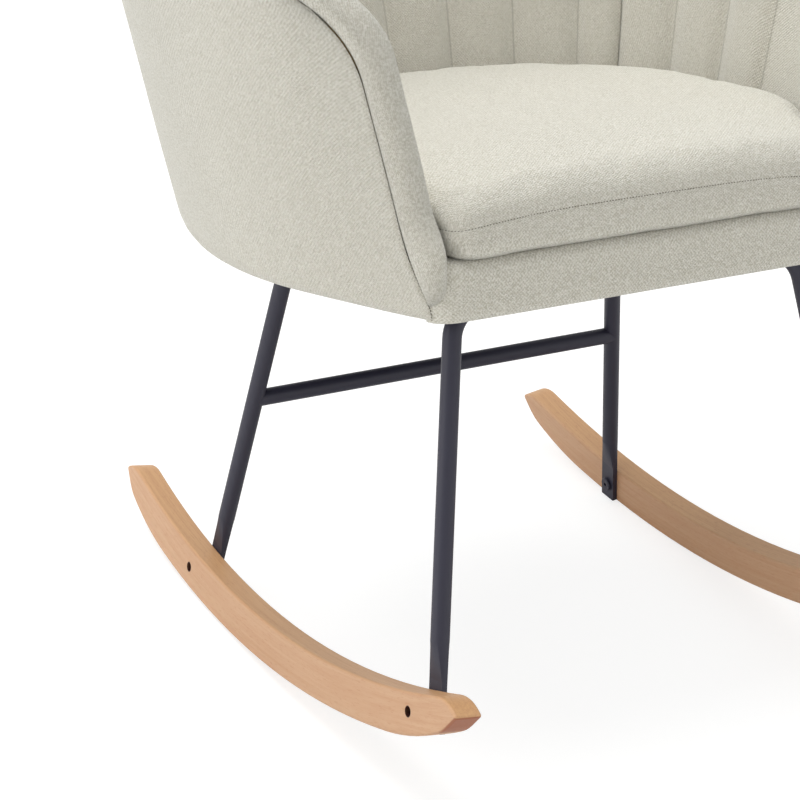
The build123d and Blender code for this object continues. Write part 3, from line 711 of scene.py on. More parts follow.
class CHAIR_OT_seat_frame(bpy.types.Operator):
    """Finish the wood, webbing and dust cover inside the seat"""
    bl_idname = "chair.seat_frame"
    bl_label = "Seat frame"

    strap_width = 50 * MM
    strap_pitch = 70 * MM
    strap_count = 4
    strap_middle_y = -85 * MM
    strap_front_y = -261 * MM
    strap_thickness = 0.9 * MM
    strap_hold = 18 * MM  # how far a strap's ends lie on the rails
    strap_level = 1.5 * MM  # middle of the weave under the deck
    strap_wave = 0.5 * MM
    dust_rise = 11.5 * MM
    dust_thickness = 0.6 * MM
    dust_hem, dust_front_hem = 9 * MM, 8 * MM  # from the tub's edge to the dust cover's
    dust_sag = 1.2 * MM

    def execute(self, context):
        pine = grained("sawn_frame_wood", colours().frame_wood, 0.75, (60 * MM, 4 * MM, 4 * MM), 0.7)
        for name in ("front_rail", "cross_rail", "left_side_rail", "right_side_rail", "rear_rail", "tacking_rail",
                     "left_side_core", "right_side_core", "back_core"):
            dress(name, pine)
        self.straps()
        self.dust_cover()
        return {"FINISHED"}

    def straps(self):
        """Lay the straps over the rails in a plain weave, each crossing going over or under in turn."""
        s = sizes()
        band = grained("elastic_webbing", colours().dust_cloth, 0.4, (1.5 * MM, 6 * MM, 3 * MM), 0.85)
        middle_z = s.deck_height - self.strap_level
        _, radius, centre = plan(s, "inside", middle_z)
        radius += self.strap_hold
        offsets = [(i - (self.strap_count - 1) / 2) * self.strap_pitch for i in range(self.strap_count)]
        for name, node, lengthwise in (("lengthwise_straps", "lengthwise_webbing", True),
                                       ("crosswise_straps", "crosswise_webbing", False)):
            whole = bmesh.new()
            for index, offset in enumerate(offsets):
                level = offset if lengthwise else self.strap_middle_y + offset
                far = (centre if lengthwise else 0) + sqrt(radius**2 - (level - (0 if lengthwise else centre)) ** 2)
                near = self.strap_front_y if lengthwise else -far

                def place(along, up):
                    run, across = near + (far - near) * along, level + self.strap_width * (up - 0.5)
                    crossing = (run - (self.strap_middle_y if lengthwise else 0)) / self.strap_pitch
                    side = 1 if lengthwise else -1
                    z = middle_z + side * self.strap_wave * cos(pi * (crossing + 0.5 + index))
                    return Vector((across, run, z)) if lengthwise else Vector((run, across, z))

                strap, _ = grid_piece(48, 4, place)
                thicken(strap, self.strap_thickness)
                mesh = bpy.data.meshes.new("strap")
                strap.to_mesh(mesh)
                strap.free()
                whole.from_mesh(mesh)
                bpy.data.meshes.remove(mesh)
            finish_piece(whole, name, band, [node])

    def dust_cover(self):
        """Stretch the dust cover under the rails, sagging slightly between its tacks."""
        s = sizes()
        felt = grained("spun_bonded_dust_cloth", colours().dust_cloth, 0.5, (3 * MM,) * 3, 0.9)
        z = s.base_height + self.dust_rise
        half, radius, centre = plan(s, "outside", z)
        half, radius = half - self.dust_hem, radius - self.dust_hem
        front, back = s.front_y + self.dust_front_hem, centre + radius

        def place(along, up):
            # threads fan out from the front edge to the round back, so that the sheet's edge follows the tub's plan
            out = 2 * along - 1
            turn = pi / 2 - out * (pi / 2 + s.side_turn)
            start = Vector((out * half, front))
            end = Vector((0, centre)) + radius * Vector((cos(turn), sin(turn)))
            x, y = start.lerp(end, up)
            sag = self.dust_sag * sin(pi * along) * sin(pi * up)
            return Vector((x, y, z - sag + ripple(Vector((x, y, 0)), 50 * MM, 0.25 * MM)))

        bm, _ = grid_piece(40, 40, place)
        area = sum(face.calc_area() for face in bm.faces)
        thicken(bm, self.dust_thickness)
        sheet = finish_piece(bm, "dust_cover_cloth", felt, ["dust_cover"], levels=0)


class CHAIR_OT_outer_covers(bpy.types.Operator):
    """Upholster the tub's outside"""
    bl_idname = "chair.outer_covers"
    bl_label = "Outer covers"

    edge_inset = 0.3 * MM
    foot_round = 16 * MM
    depth = 5 * MM
    crowd = 1.6
    side_run, rise = 450 * MM, 270 * MM
    valley, valley_reach = 2.2 * MM, 2.4 * MM
    puff = 2.5 * MM
    tuck, corner_tuck = 9 * MM, 0.1  # how far the foot turns in, and the share of that at the front corner
    wave_size, wave_depth = 120 * MM, 0.8 * MM
    turn_in, turn_in_run, turn_in_fade = 0.6 * MM, 6 * MM, 2 * MM
    gather, gather_size, gather_reach = 0.7 * MM, 11 * MM, 9 * MM

    def execute(self, context):
        s = sizes()
        cloth = linen_cloth(colours())
        side = self.cover(60, side_patch(s, "outside", self.edge_inset, s.base_height, crowd=self.crowd),
                          self.side_lift)
        back = self.cover(64, back_patch(s, "outside", self.edge_inset, s.base_height, self.crowd), self.back_lift)
        names = ("left_side_upholstery", "right_side_upholstery", "outside_back_upholstery")
        for piece in finish_tub(side, back, names, ("left_side_cover", "right_side_cover", "back_cover"), cloth):
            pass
        return {"FINISHED"}

    def cover(self, columns, place, lift):
        """One cover, its cloth lifted off the tub's plain outside."""
        bm, shares = grid_piece(columns, 52, place)
        lift_off(bm, shares, lambda p: Vector((p.x, p.y - sizes().space_centre, 0)), lift)
        thicken(bm, self.depth)
        return bm

    def foot_tuck(self, z, from_corner):
        """How far the cloth turns in over the tub's foot, less near the front corner where it meets the apron."""
        short = max(0.0, 1 - (z - sizes().base_height) / self.foot_round)
        share = self.corner_tuck + (1 - self.corner_tuck) * ease(from_corner * 3)
        return self.tuck * share * (1 - sqrt(max(0.0, 1 - short * short)))

    def side_lift(self, point, along, up):
        """How far a side's cloth stands off the tub's plain outside."""
        along, below = along**self.crowd, (1 - up)**self.crowd
        puff = self.puff * sin(pi * min(1, 4 * along) / 2) * sin(pi * min(1, 4 * below) / 2)
        return (puff - self.dip(along * self.side_run) - self.dip(below * self.rise) - self.foot_tuck(point.z, along)
                + self.pucker(point, along * self.side_run) + ripple(point, self.wave_size, self.wave_depth))

    def back_lift(self, point, along, up):
        """How far the back's cloth stands off the tub's plain outside."""
        below = (1 - up)**self.crowd
        puff = self.puff * sin(pi * min(1, 6 * along) / 2) * sin(pi * min(1, 6 * (1 - along)) / 2)
        return (puff - self.dip(2 * below * self.rise) - self.foot_tuck(point.z, 1)
                + ripple(point, self.wave_size, self.wave_depth))

    def dip(self, away):
        """How far the cloth goes down into the seam with the band, away from it by a distance."""
        return self.valley * exp(-away / self.valley_reach)

    def pucker(self, point, away):
        """Small gathers of the cloth beside the seam, and the step where the cloth turned in behind it ends."""
        turned_in = self.turn_in * (1 - ease((away - self.turn_in_run) / self.turn_in_fade))
        gathers = self.gather * noise.noise(Vector((0, 0, point.z / self.gather_size)))
        return turned_in + gathers * exp(-away / self.gather_reach)


class CHAIR_OT_lining(bpy.types.Operator):
    """Upholster the tub's inside in sewn channels"""
    bl_idname = "chair.lining"
    bl_label = "Channelled lining"

    edge_inset = 9 * MM
    depth = 12 * MM
    foot_drop = 0.3 * MM
    columns_per_channel = 12
    plain_columns = 39
    lap = 2.5 * MM  # how far the cloth that runs past the seam lies under the other

    def execute(self, context):
        s = sizes()
        cloth = linen_cloth(colours(), "channelled_linen_look_polyester", sewn=True, fleck_spread=0.5)
        foot = s.deck_height + self.foot_drop
        columns = self.columns_per_channel * len(s.side_lines) + self.plain_columns
        place = side_patch(s, "inside", self.edge_inset, foot, plain_share=self.plain_columns / columns)
        side = self.channels(columns, 44, place, 1)
        columns = self.columns_per_channel * 2 * len(s.back_lines)
        back = self.channels(columns, 48, back_patch(s, "inside", self.edge_inset, foot), -1)
        names = ("left_arm_lining", "right_arm_lining", "back_lining")
        for piece in finish_tub(side, back, names, ("left_arm_pad", "right_arm_pad", "back_pad"), cloth):
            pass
        return {"FINISHED"}

    def channels(self, columns, rows, place, way):
        """One lining, its channels swelling off the tub's plain inside; way says which side of the seam it is on."""
        bm, shares = grid_piece(columns, rows, place)
        lift_off(bm, shares, self.inward, lambda point, along, up: self.lift(point, up, way))
        count_channels(bm, lambda point: channel_place(sizes(), self.turn_of(point)))
        thicken(bm, self.depth)
        return bm

    @staticmethod
    def inward(point):
        """Toward the seat space's middle, level."""
        return Vector((-point.x, space_middle(sizes(), point.z) - point.y, 0))

    @staticmethod
    def turn_of(point):
        """Angle of a point round the seat space, from straight out to its side."""
        return atan2(point.y - space_middle(sizes(), point.z), abs(point.x))

    def lift(self, point, up, way):
        """How far the cloth stands off the tub's plain inside."""
        s = sizes()
        turn = self.turn_of(point)
        share = channel_place(s, turn)
        if share < 0:
            return ripple(point, 100 * MM, 0.6 * MM)
        share -= floor(share)
        if (turn - s.back_seam) * way > 0.05 * SEAM_OVERLAP:
            return -self.lap
        pinch = 0.4 * MM * noise.noise(Vector((share * 0.3, 0, point.z * 60)))
        rounded = ease((1 - up) * 14 + 0.25)  # at the channel's top
        return s.channel_depth * swell(share) * rounded + pinch + ripple(point, 80 * MM, 0.7 * MM)


class CHAIR_OT_rim_band(bpy.types.Operator):
    """Sew the padded band round the rim, and its stitches"""
    bl_idname = "chair.rim_band"
    bl_label = "Rim band"

    tongue_rise = 22 * MM
    tongue_half = 195 * MM
    forward = 6 * MM
    bulge = 5 * MM
    depth = 4 * MM
    front_share = 0.24
    seam_inset, lining_inset = 1 * MM, 15 * MM
    full_bulge_width, full_seam_width = 20 * MM, 12 * MM  # a narrower band is padded and tucked in less
    lap_forward = 4 * MM
    stitch_length = 1.8 * MM
    stitch_radius = 0.45 * MM

    def execute(self, context):
        s = sizes()
        cloth = linen_cloth(colours(), "band_linen_look_polyester", fleck_spread=0.16)
        self.rim, self.lining_rim = Rim(s, 0), Rim(s, self.lining_inset)
        self.seam_rim = Rim(s, self.seam_inset, seam=True)
        self.sections = {}
        bm, _ = grid_piece(260, 16, self.place)
        bmesh.ops.reverse_faces(bm, faces=bm.faces)
        thicken(bm, self.depth)
        middle = [v for v in bm.verts if abs(v.co.x) < 1 * MM]
        for v in middle:
            v.co.x = 0
        walls = [face for face in bm.faces if all(v in middle for v in face.verts)]
        bmesh.ops.delete(bm, geom=walls, context="FACES_ONLY")
        bmesh.ops.mirror(bm, geom=bm.verts[:] + bm.edges[:] + bm.faces[:], axis="X", merge_dist=0.5 * MM)
        bmesh.ops.recalc_face_normals(bm, faces=bm.faces)
        band = finish_piece(bm, "rim_band", cloth,
                            ["left_arm_band", "right_arm_band", "back_rim_band"])
        self.stitches(s)
        return {"FINISHED"}

    def edge_point(self, rim, face, along):
        """A point of the left rim on a face: up the arm's front, then round to the middle of the back."""
        s = sizes()
        foot = s.base_height + s.seam_tip_rise
        corner_z = rim.line[rim.corner].y
        if along < self.front_share:
            z = foot + (corner_z - foot) * along / self.front_share
            y = rim.front_y(z)
            return Vector((-wall_x(s, face, y, z), y, z))
        first = rim.corner_turn(s, face)
        turn = first + (pi / 2 - first) * (along - self.front_share) / (1 - self.front_share)
        return mirror_x(wall_point(s, face, turn, rim.height_at(s, face, turn)))

    def section(self, along):
        """The stitch line's point, and the points that pull the band's section from its outer seam to the lining."""
        s = sizes()
        outer = self.edge_point(self.seam_rim, "outside", along)
        inner = self.edge_point(self.rim, "inside", along)
        lining = self.edge_point(self.lining_rim, "inside", along)
        crest = self.edge_point(self.rim, "outside", along)
        over_crest = 1
        if along < self.front_share:
            # the padded inner edge stands forward of the seam; below the cushion it laps the apron as a round tongue
            below = self.rim.line[self.rim.corner].y - outer.z
            over_crest = ease(1.2 - below / (90 * MM))
            inner.y -= self.forward * ease((below - 48 * MM) / (90 * MM))
            share = 1 - ease((outer.z - s.deck_height) / (45 * MM))
            short = max(0.0, 1 - (outer.z - s.base_height - s.seam_tip_rise) / self.tongue_rise)
            lap = Vector((-self.tongue_half, s.front_y - self.lap_forward, outer.z))
            over = outer.lerp(lap, sqrt(max(0.0, 1 - short * short)))
            inner = inner.lerp(over, share)
            lining = lining.lerp(over + Vector((-1 * MM, 13 * MM, 0)), share)
        step = 0.003
        ahead = self.edge_point(self.rim, "outside", min(along + step, 1))
        behind = self.edge_point(self.rim, "outside", max(along - step, 0))
        across = (inner - outer).normalized()
        out = across.cross((ahead - behind).normalized()).normalized()
        width = (inner - outer).length
        puff = self.bulge * min(1, width / self.full_bulge_width)
        seam = min(1, width / self.full_seam_width) * MM
        stitch = outer - out * 1.2 * seam + across * 0.6 * seam
        return stitch, [
            outer + across * 1.8 * seam - out * 2.6 * seam,  # tucked in at the seam
            outer + (crest - outer) * 0.7 * over_crest + out * puff * 0.45 + across * 0.6 * seam,
            outer + (inner - outer) * 0.5 + out * puff * 2.1,  # padded face
            inner + out * puff * 0.9 + across * 2.5 * seam,
            inner + (lining - inner) * 0.4 + across * 5.5 * seam,  # round inner edge
            lining + across * 2.0 * seam,
        ]

    def place(self, along, up):
        """A point of the band."""
        if along not in self.sections:
            self.sections[along] = self.section(along)[1]
        point = bend_through(self.sections[along], up)
        return point + Vector((0, -1, 0)) * ripple(point, 50 * MM, 0.4 * MM)

    def stitches(self, s):
        """Short stitches along the band's outer seam, both sides."""
        sunk = 1 * MM
        heights = [s.base_height + sunk + (s.seam_tip_rise - sunk) * i / 40 for i in range(40)]
        fronts = [(self.seam_rim.front_y(z), z) for z in heights]
        corner = [Vector((-wall_x(s, "outside", y, z) + sunk, y, z)) for y, z in fronts]
        seam = [self.section(i / 800)[0] for i in range(801)]
        left = spaced(corner + finer(seam, 5), s.stitch_pitch, self.stitch_length)
        runs = [(flip(start), flip(end)) for start, end in left for flip in (Vector.copy, mirror_x)]
        sew("rim_band_stitches", "sewing_thread", runs, self.stitch_radius, "chair")


def apron_half(s, z):
    """Half the apron's width at a height: to the side's seam at its foot, and under the band's tongue above that."""
    under_tongue, off_seam, tongue_foot, run = 199 * MM, 3 * MM, 36 * MM, 20 * MM
    to_seam = wall_x(s, "outside", s.seam_tip_y, z) - off_seam
    return under_tongue + (to_seam - under_tongue) * ease((s.base_height + tongue_foot - z) / run)


def bend_through(control, share):
    """A point along a smooth curve pulled by control points, which starts and ends on the first and last."""
    spans = len(control) - 2
    at = min(share, 0.999999) * spans
    index = int(at)
    local = at - index
    start = control[index] if index == 0 else (control[index] + control[index + 1]) / 2
    end = control[index + 2] if index == spans - 1 else (control[index + 1] + control[index + 2]) / 2
    corner = control[index + 1]
    return start * (1 - local) ** 2 + corner * 2 * local * (1 - local) + end * local**2


def spaced(points, pitch, run):
    """Pairs of points along a line: a run of thread at every pitch."""
    travelled, wanted, pairs, start = 0.0, 0.0, [], None
    for before, point in zip(points, points[1:]):
        travelled += (point - before).length
        if start is None and travelled >= wanted:
            start = point.copy()
        elif start is not None and travelled >= wanted + run:
            pairs.append((start, point.copy()))
            start, wanted = None, wanted + pitch
    return pairs


def finer(points, parts):
    """The points of a line, each of its steps parted."""
    return [a.lerp(b, i / parts) for a, b in zip(points, points[1:]) for i in range(parts)]


def sew(name, thread_name, runs, radius, body):
    """A line of stitches: short bars that dip into the cloth at both ends."""
    thread = grained(thread_name, colours().thread, 0.7, (1 * MM,) * 3, 0.8)
    bm = bmesh.new()
    for start, end in runs:
        run = end - start
        turn = run.to_track_quat("Z", "Y").to_matrix().to_4x4()
        place = Matrix.Translation((start + end) / 2) @ turn
        bmesh.ops.create_uvsphere(bm, u_segments=6, v_segments=4, radius=1,
                                  matrix=place @ Matrix.Diagonal((radius, radius, run.length / 2, 1)))
    finish_piece(bm, name, thread, [], body, levels=0)


class CHAIR_OT_apron(bpy.types.Operator):
    """Pad the apron under the cushion's front"""
    bl_idname = "chair.apron"
    bl_label = "Apron"

    tuck = 14 * MM
    tuck_run = 22 * MM
    crowd = 1.5
    depth = 4 * MM
    # points that pull its section, front to back from the tub's front plane and up from the base, in mm
    lower = ((5, 1), (-0.5, 0), (-2, 22))
    # and on up from the deck, where it lies under the cushion
    upper = ((-1.5, -9), (3.5, -2), (14, -1.4), (45, -1.2))

    def execute(self, context):
        s = sizes()
        cloth = linen_cloth(colours(), "apron_linen_look_polyester", fleck_spread=0.24)
        side = [Vector((s.front_y + y * MM, level + z * MM))
                for level, pulls in ((s.base_height, self.lower), (s.deck_height, self.upper)) for y, z in pulls]

        def place(along, up):
            point = bend_through(side, up)
            half = apron_half(s, min(point.y, s.deck_height))
            out = 1 - (1 - abs(2 * along - 1)) ** self.crowd
            turned = min(1, max(0, (out * half - half + self.tuck_run) / self.tuck_run))
            back = self.tuck * (1 - sqrt(1 - turned * turned))
            return Vector((half * out * (1 if along > 0.5 else -1), point.x + back, point.y))

        bm, shares = grid_piece(110, 22, place)
        lift_off(bm, shares, lambda p: Vector((0, -1, 0.2)), self.lift)
        thicken(bm, self.depth)
        apron = finish_piece(bm, "apron_upholstery", cloth, ["apron"])
        return {"FINISHED"}

    def lift(self, point, along, up):
        """How uneven the apron's face is, less so at its edges."""
        return ripple(point, 60 * MM, 0.6 * MM) * sin(pi * up)


class CHAIR_OT_seat_cushion(bpy.types.Operator):
    """Stuff the loose seat cushion and sew its front seam"""
    bl_idname = "chair.seat_cushion"
    bl_label = "Seat cushion"

    gap = 2 * MM
    voxel = 5 * MM
    frames = 20
    pressure = 4.0
    most_swell = 7 * MM
    side_pull = 0.45  # share of a pull that sides and back draw in by
    front_room = 9 * MM  # how much wider its front is than the seat space's
    corner_sag, sag_half, sag_run = 7 * MM, 190 * MM, 150 * MM
    seam_pinch, pinch_reach = 1.8 * MM, 3.5 * MM
    front_hang, hang_run = 2.5 * MM, 8 * MM
    clear = 0.2 * MM  # between its underside and the deck
    # rings up from its underside: pull in mm, height in shares of its side and of its crown, share of its tilt
    stack = ((4.5, 0, 0, 0), (0.5, 0.15, 0, 0), (0, 0.5, 0, 0), (2, 1, 0, 0.25), (5, 1, 0.36, 0.5),
             (12, 1, 0.64, 1), (26, 1, 0.82, 1), (60, 1, 0.92, 1), (110, 1, 0.95, 1))
    foot = 0.5 * MM  # height of the lowest ring
    stitch_length = 1.9 * MM
    stitch_radius = 0.42 * MM

    def execute(self, context):
        s = sizes()
        cloth = linen_cloth(colours(), "cushion_linen_look_polyester", fleck_spread=0.26)
        rough = self.rough_shape(s)
        mesh = swollen(rough, self.voxel, self.frames, self.pressure, self.most_swell)
        self.shape(s, mesh)
        lay_weave(mesh)
        tree = BVHTree.FromPolygons([v.co for v in mesh.vertices], [p.vertices for p in mesh.polygons])
        self.stitches(s, tree)
        mesh.transform(rest_pose(s))
        piece = finish_mesh(mesh, "seat_cushion_upholstery", cloth, ["seat_cushion"], "cushion")
        return {"FINISHED"}

    def ring(self, s, pull, up, tilt):
        """Outline of the cushion drawn in by a pull at a height over the deck, as points from front middle round."""
        z = s.deck_height + up
        half, radius, centre = plan(s, "inside", z)
        radius -= self.gap + self.side_pull * pull
        half += self.front_room - self.side_pull * pull
        side = Vector((radius * cos(s.side_turn), centre - radius * sin(s.side_turn)))
        front = s.front_y - s.cushion_overhang + pull
        shoulder_y = front + s.cushion_corner
        lean = (side.x - half) / (side.y - s.front_y)
        shoulder = Vector((half + (shoulder_y - s.front_y) * lean, shoulder_y))
        hub = Vector((shoulder.x - s.cushion_corner, shoulder_y))
        points = [Vector((hub.x * i / 12, front)) for i in range(12)]
        points += [hub + s.cushion_corner * Vector((sin(t), -cos(t))) for t in (pi / 2 * i / 8 for i in range(8))]
        points += [shoulder.lerp(side, i / 4) for i in range(4)]
        sweep = pi / 2 + s.side_turn
        for turn in (sweep * i / 32 - s.side_turn for i in range(33)):
            beside_channels = ease(1 + (turn - s.side_lines[0]) / radians(12))
            reach = radius - s.channel_depth * beside_channels
            points.append(Vector((reach * cos(turn), centre + reach * sin(turn))))
        points += [Vector((-p.x, p.y)) for p in reversed(points[1:-1])]
        drop = tan(tilt)
        return [Vector((p.x, p.y, z - (p.y - front) * drop - self.sag(s, p) * up / s.cushion_side)) for p in points]

    def sag(self, s, place):
        """How far the cushion's front corners hang below its middle, at its seam."""
        outward = min(abs(place.x) / self.sag_half, 1)
        return self.corner_sag * outward**3 * (1 - ease((place.y - s.front_y) / self.sag_run))

    def rough_shape(self, s):
        """The cushion before it is stuffed: rings drawn up from its underside to its crown."""
        rings = [self.ring(s, pull * MM, max(self.foot, up * s.cushion_side + over * s.cushion_crown),
                           s.cushion_tilt * tilt) for pull, up, over, tilt in self.stack]
        bm = bmesh.new()
        bmesh.ops.create_circle(bm, cap_ends=True, segments=len(rings[0]), radius=1)
        bm.verts.ensure_lookup_table()
        verts = bm.verts[:]
        for v, point in zip(verts, rings[0]):
            v.co = point
        cap = bm.faces[:]
        for index, ring in enumerate(rings[1:]):
            grown = bmesh.ops.extrude_face_region(bm, geom=cap, use_keep_orig=index == 0)["geom"]
            cap = [g for g in grown if isinstance(g, bmesh.types.BMFace)]
            # the new face's corners come in no set order, so each is found by its place
            places = {tuple(round(c, 6) for c in old): new for old, new in zip(rings[index], ring)}
            for v in (g for g in grown if isinstance(g, bmesh.types.BMVert)):
                v.co = places[tuple(round(c, 6) for c in v.co)]
        bmesh.ops.triangulate(bm, faces=[f for f in bm.faces if len(f.verts) > 4])
        bmesh.ops.recalc_face_normals(bm, faces=bm.faces)
        mesh = bpy.data.meshes.new("rough_cushion")
        bm.to_mesh(mesh)
        bm.free()
        return mesh

    def seam_height(self, s, place):
        """Height of the sewn line round the cushion at a place."""
        return (s.deck_height + s.cushion_side - (place.y - s.front_y) * tan(s.cushion_tilt / 4)
                - self.sag(s, place))

    def shape(self, s, mesh):
        """Flatten the underside on the deck, pinch the seam, and leave the cloth slightly uneven."""
        mesh.update()
        normals = [v.normal.copy() for v in mesh.vertices]
        for v, normal in zip(mesh.vertices, normals):
            above = v.co.z - self.seam_height(s, v.co)
            level = 1 - abs(normal.z)
            v.co -= normal * self.seam_pinch * exp(-(above / self.pinch_reach) ** 2) * level
            v.co += normal * ripple(v.co, 70 * MM, 0.9 * MM)
            v.co.z = max(v.co.z, s.deck_height + self.clear)
            low = max(0.0, 1 - (v.co.z - s.deck_height) / s.cushion_side)
            v.co.z -= self.front_hang * low * ease((s.front_y - v.co.y) / self.hang_run)

    def stitches(self, s, surface):
        """Stitches round the cushion's seam."""
        outline = self.ring(s, 0, s.cushion_side, s.cushion_tilt / 4)
        outline.append(outline[0])
        away, proud = 50 * MM, 0.1 * MM
        points = []
        for point in finer(outline, 40):
            target = Vector((point.x, point.y, self.seam_height(s, point)))
            out = Vector((point.x, point.y - s.space_centre, 0)).normalized()
            hit = surface.ray_cast(target + out * away, -out)[0]
            if hit is not None:
                points.append(hit + out * proud)
        runs = spaced(points, s.stitch_pitch, self.stitch_length)
        sew("cushion_stitches", "cushion_thread", runs, self.stitch_radius, "cushion")


def swollen(mesh, voxel, frames, pressure, most):
    """Stuff a closed mesh: remesh it evenly, blow its cloth up, and cap how far any point moves."""
    piece = bpy.data.objects.new(mesh.name, mesh)
    bpy.context.collection.objects.link(piece)
    remesh = piece.modifiers.new("even", "REMESH")
    remesh.mode, remesh.voxel_size = "VOXEL", voxel
    even = baked(piece)
    piece.modifiers.clear()
    piece.data = even
    still = [v.co.copy() for v in even.vertices]
    cloth = piece.modifiers.new("stuffing", "CLOTH")
    settings = cloth.settings
    settings.use_pressure, settings.uniform_pressure_force = True, pressure
    settings.effector_weights.gravity = 0
    settings.quality = 5
    cloth.point_cache.frame_start, cloth.point_cache.frame_end = 1, frames
    for number in range(1, frames + 1):
        bpy.context.scene.frame_set(number)
    blown = baked(piece)
    for v, start, moved in zip(even.vertices, still, blown.vertices):
        move = moved.co - start
        v.co = start + move * min(1, most / max(move.length, 1e-9))
    bpy.context.scene.frame_set(1)
    piece.modifiers.clear()
    bpy.data.objects.remove(piece)
    smoothed = bmesh.new()
    smoothed.from_mesh(even)
    for _ in range(3):
        bmesh.ops.smooth_vert(
            smoothed, verts=smoothed.verts, factor=0.5, use_axis_x=True, use_axis_y=True, use_axis_z=True)
    smoothed.to_mesh(even)
    smoothed.free()
    return even


def lay_weave(mesh):
    """Lay a stuffed piece's weave from above over its top, and on down round its edges."""
    weave = mesh.uv_layers.new(name="weave")
    low, high = (Vector(f(v.co[axis] for v in mesh.vertices) for axis in range(3)) for f in (min, max))
    middle, edge_run = (low + high) / 2, 30 * MM
    for loop, laid in zip(mesh.loops, weave.data):
        place = mesh.vertices[loop.vertex_index].co
        fall = high.z - place.z
        outward = [(place[axis] - middle[axis], (high[axis] - low[axis]) / 2 - edge_run) for axis in (0, 1)]
        shift = [max(-1, min(1, (abs(off) - plain) / edge_run)) for off, plain in outward]
        laid.uv = [place[axis] + fall * max(0, shift[axis]) * (1 if outward[axis][0] > 0 else -1) for axis in (0, 1)]


def baked(piece):
    """A piece's mesh with its modifiers applied."""
    bpy.context.view_layer.update()
    graph = bpy.context.evaluated_depsgraph_get()
    return bpy.data.meshes.new_from_object(piece.evaluated_get(graph))


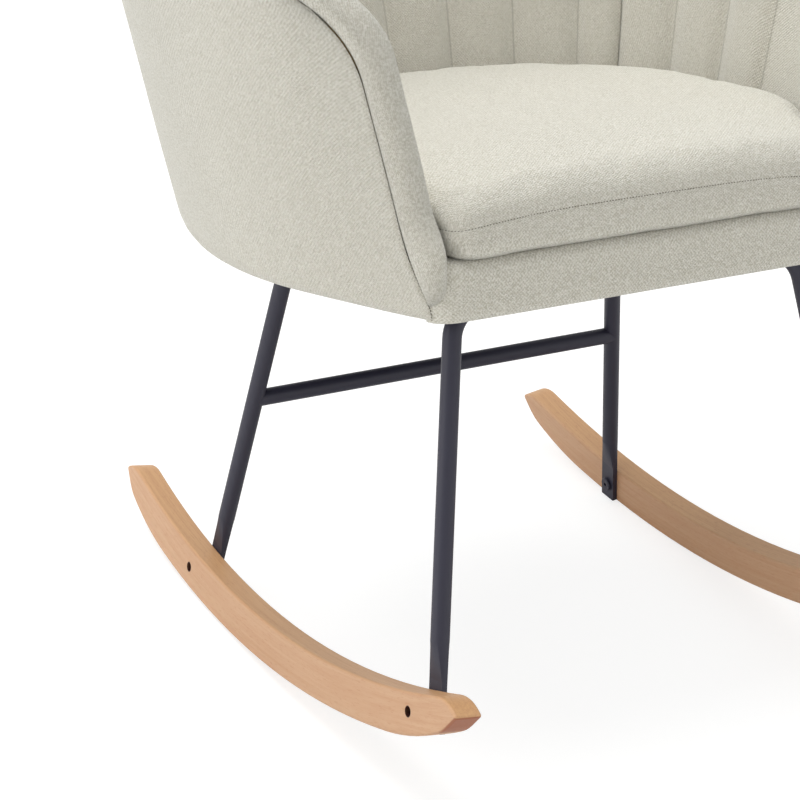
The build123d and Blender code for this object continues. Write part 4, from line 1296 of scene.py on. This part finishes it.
class CHAIR_OT_stage(bpy.types.Operator):
    """Lay the floor, hang the lights and set the camera"""
    bl_idname = "chair.stage"
    bl_label = "Stage"

    camera_place = (-1.0690, -1.9024, 0.9960)
    camera_yaw, camera_pitch, camera_roll = radians(27.3315), radians(20.1214), radians(-0.3650)
    focal_share = 2468.774 / 800
    sensor = 36.0

    def execute(self, context):
        self.floor()
        self.world()
        self.lamp("key_overhead", (-0.5, 0.7, 3.2), (0, -0.05, 0.45), 2.6, 82)
        self.lamp("left_fill", (-3.2, 0.2, 1.3), (0, 0, 0.5), 2.4, 27)
        self.lamp("front_fill", (1.6, -3.2, 0.9), (0, 0, 0.3), 2.0, 4)
        self.camera()
        return {"FINISHED"}

    def floor(self):
        """Lay a wide matt floor."""
        bm = bmesh.new()
        bmesh.ops.create_grid(bm, x_segments=1, y_segments=1, size=8)
        mesh = bpy.data.meshes.new("floor")
        bm.to_mesh(mesh)
        bm.free()
        finish, tree, shader = new_finish("matt_studio_floor")
        fill(shader, {"Base Color": colours().floor, "Roughness": 0.95})
        # the camera sees the floor lifted to white, so that only the chair's shadow shows on it
        seen = add_node(tree, "LightPath", out="Is Camera Ray")
        share = add_node(tree, "Math", {0: seen, 1: 0.6}, operation="MULTIPLY")
        glow = add_node(tree, "Emission", {"Color": (1, 1, 1, 1), "Strength": 1.25})
        mixed = add_node(tree, "MixShader", {0: share, 1: shader.outputs[0], 2: glow})
        fill(tree.nodes["Material Output"], {"Surface": mixed})
        mesh.materials.append(finish)
        floor = bpy.data.objects.new("floor", mesh)
        bpy.context.collection.objects.link(floor)

    def world(self):
        """Hang a white backdrop, dimmer as light than it is to the camera."""
        world = bpy.data.worlds.new("studio")
        bpy.context.scene.world = world
        world.use_nodes = True
        tree = world.node_tree
        straight, through = (add_node(tree, "LightPath", out=f"Is {way} Ray") for way in ("Camera", "Transmission"))
        seen = add_node(tree, "Math", {0: straight, 1: through}, operation="MAXIMUM")
        strength = add_node(tree, "MapRange", {"Value": seen, "To Min": 0.68, "To Max": 1.0})
        fill(tree.nodes["Background"], {"Color": (1, 1, 1, 1), "Strength": strength})

    def lamp(self, name, place, target, size, power):
        """Hang a round lamp that shines on a target."""
        light = bpy.data.lights.new(name, "AREA")
        light.shape, light.size, light.energy = "DISK", size, power
        lamp = bpy.data.objects.new(name, light)
        lamp.location = place
        lamp.rotation_euler = (Vector(target) - Vector(place)).to_track_quat("-Z", "Y").to_euler()
        bpy.context.collection.objects.link(lamp)

    def camera(self):
        """Set the camera, its place given round the chair drawn upright."""
        yaw, pitch = self.camera_yaw, self.camera_pitch
        ahead = Vector((sin(yaw) * cos(pitch), cos(yaw) * cos(pitch), -sin(pitch)))
        level = Vector((cos(yaw), -sin(yaw), 0))
        over = level.cross(ahead)
        right = cos(self.camera_roll) * level + sin(self.camera_roll) * over
        up = -sin(self.camera_roll) * level + cos(self.camera_roll) * over
        turn = Matrix((right, up, -ahead)).transposed().to_4x4()
        lens = bpy.data.cameras.new("camera")
        lens.sensor_width, lens.lens = self.sensor, self.sensor * self.focal_share
        camera = bpy.data.objects.new("camera", lens)
        camera.matrix_world = rest_pose(sizes()) @ Matrix.Translation(self.camera_place) @ turn
        bpy.context.collection.objects.link(camera)
        bpy.context.scene.camera = camera
        bpy.context.scene.view_settings.view_transform = "Standard"


PIECES = (CHAIR_OT_rockers, CHAIR_OT_leg_frame, CHAIR_OT_seat_frame, CHAIR_OT_outer_covers, CHAIR_OT_lining,
          CHAIR_OT_rim_band, CHAIR_OT_apron, CHAIR_OT_seat_cushion, CHAIR_OT_stage)


class CHAIR_PT_panel(bpy.types.Panel):
    """Lists the chair's pieces, sizes and colours"""
    bl_idname = "CHAIR_PT_panel"
    bl_label = "Rocking Chair"
    bl_space_type = "VIEW_3D"
    bl_region_type = "UI"
    bl_category = "Rocking Chair"

    def draw(self, context):
        for operator in PIECES:
            self.layout.operator(operator.bl_idname)
        for group in (context.scene.chair_sizes, context.scene.chair_colours):
            box = self.layout.box()
            for name in group.__annotations__:
                box.prop(group, name)


CLASSES = (ChairSizes, ChairColours, *PIECES, CHAIR_PT_panel)


def register():
    for cls in CLASSES:
        bpy.utils.register_class(cls)
    bpy.types.Scene.chair_sizes = bpy.props.PointerProperty(type=ChairSizes)
    bpy.types.Scene.chair_colours = bpy.props.PointerProperty(type=ChairColours)


def unregister():
    del bpy.types.Scene.chair_colours
    del bpy.types.Scene.chair_sizes
    for cls in reversed(CLASSES):
        bpy.utils.unregister_class(cls)


def main():
    register()
    bpy.ops.chair.rockers()
    bpy.ops.chair.leg_frame()
    bpy.ops.chair.seat_frame()
    bpy.ops.chair.outer_covers()
    bpy.ops.chair.lining()
    bpy.ops.chair.rim_band()
    bpy.ops.chair.apron()
    bpy.ops.chair.seat_cushion()
    bpy.ops.chair.stage()


if __name__ == "__main__":
    main()
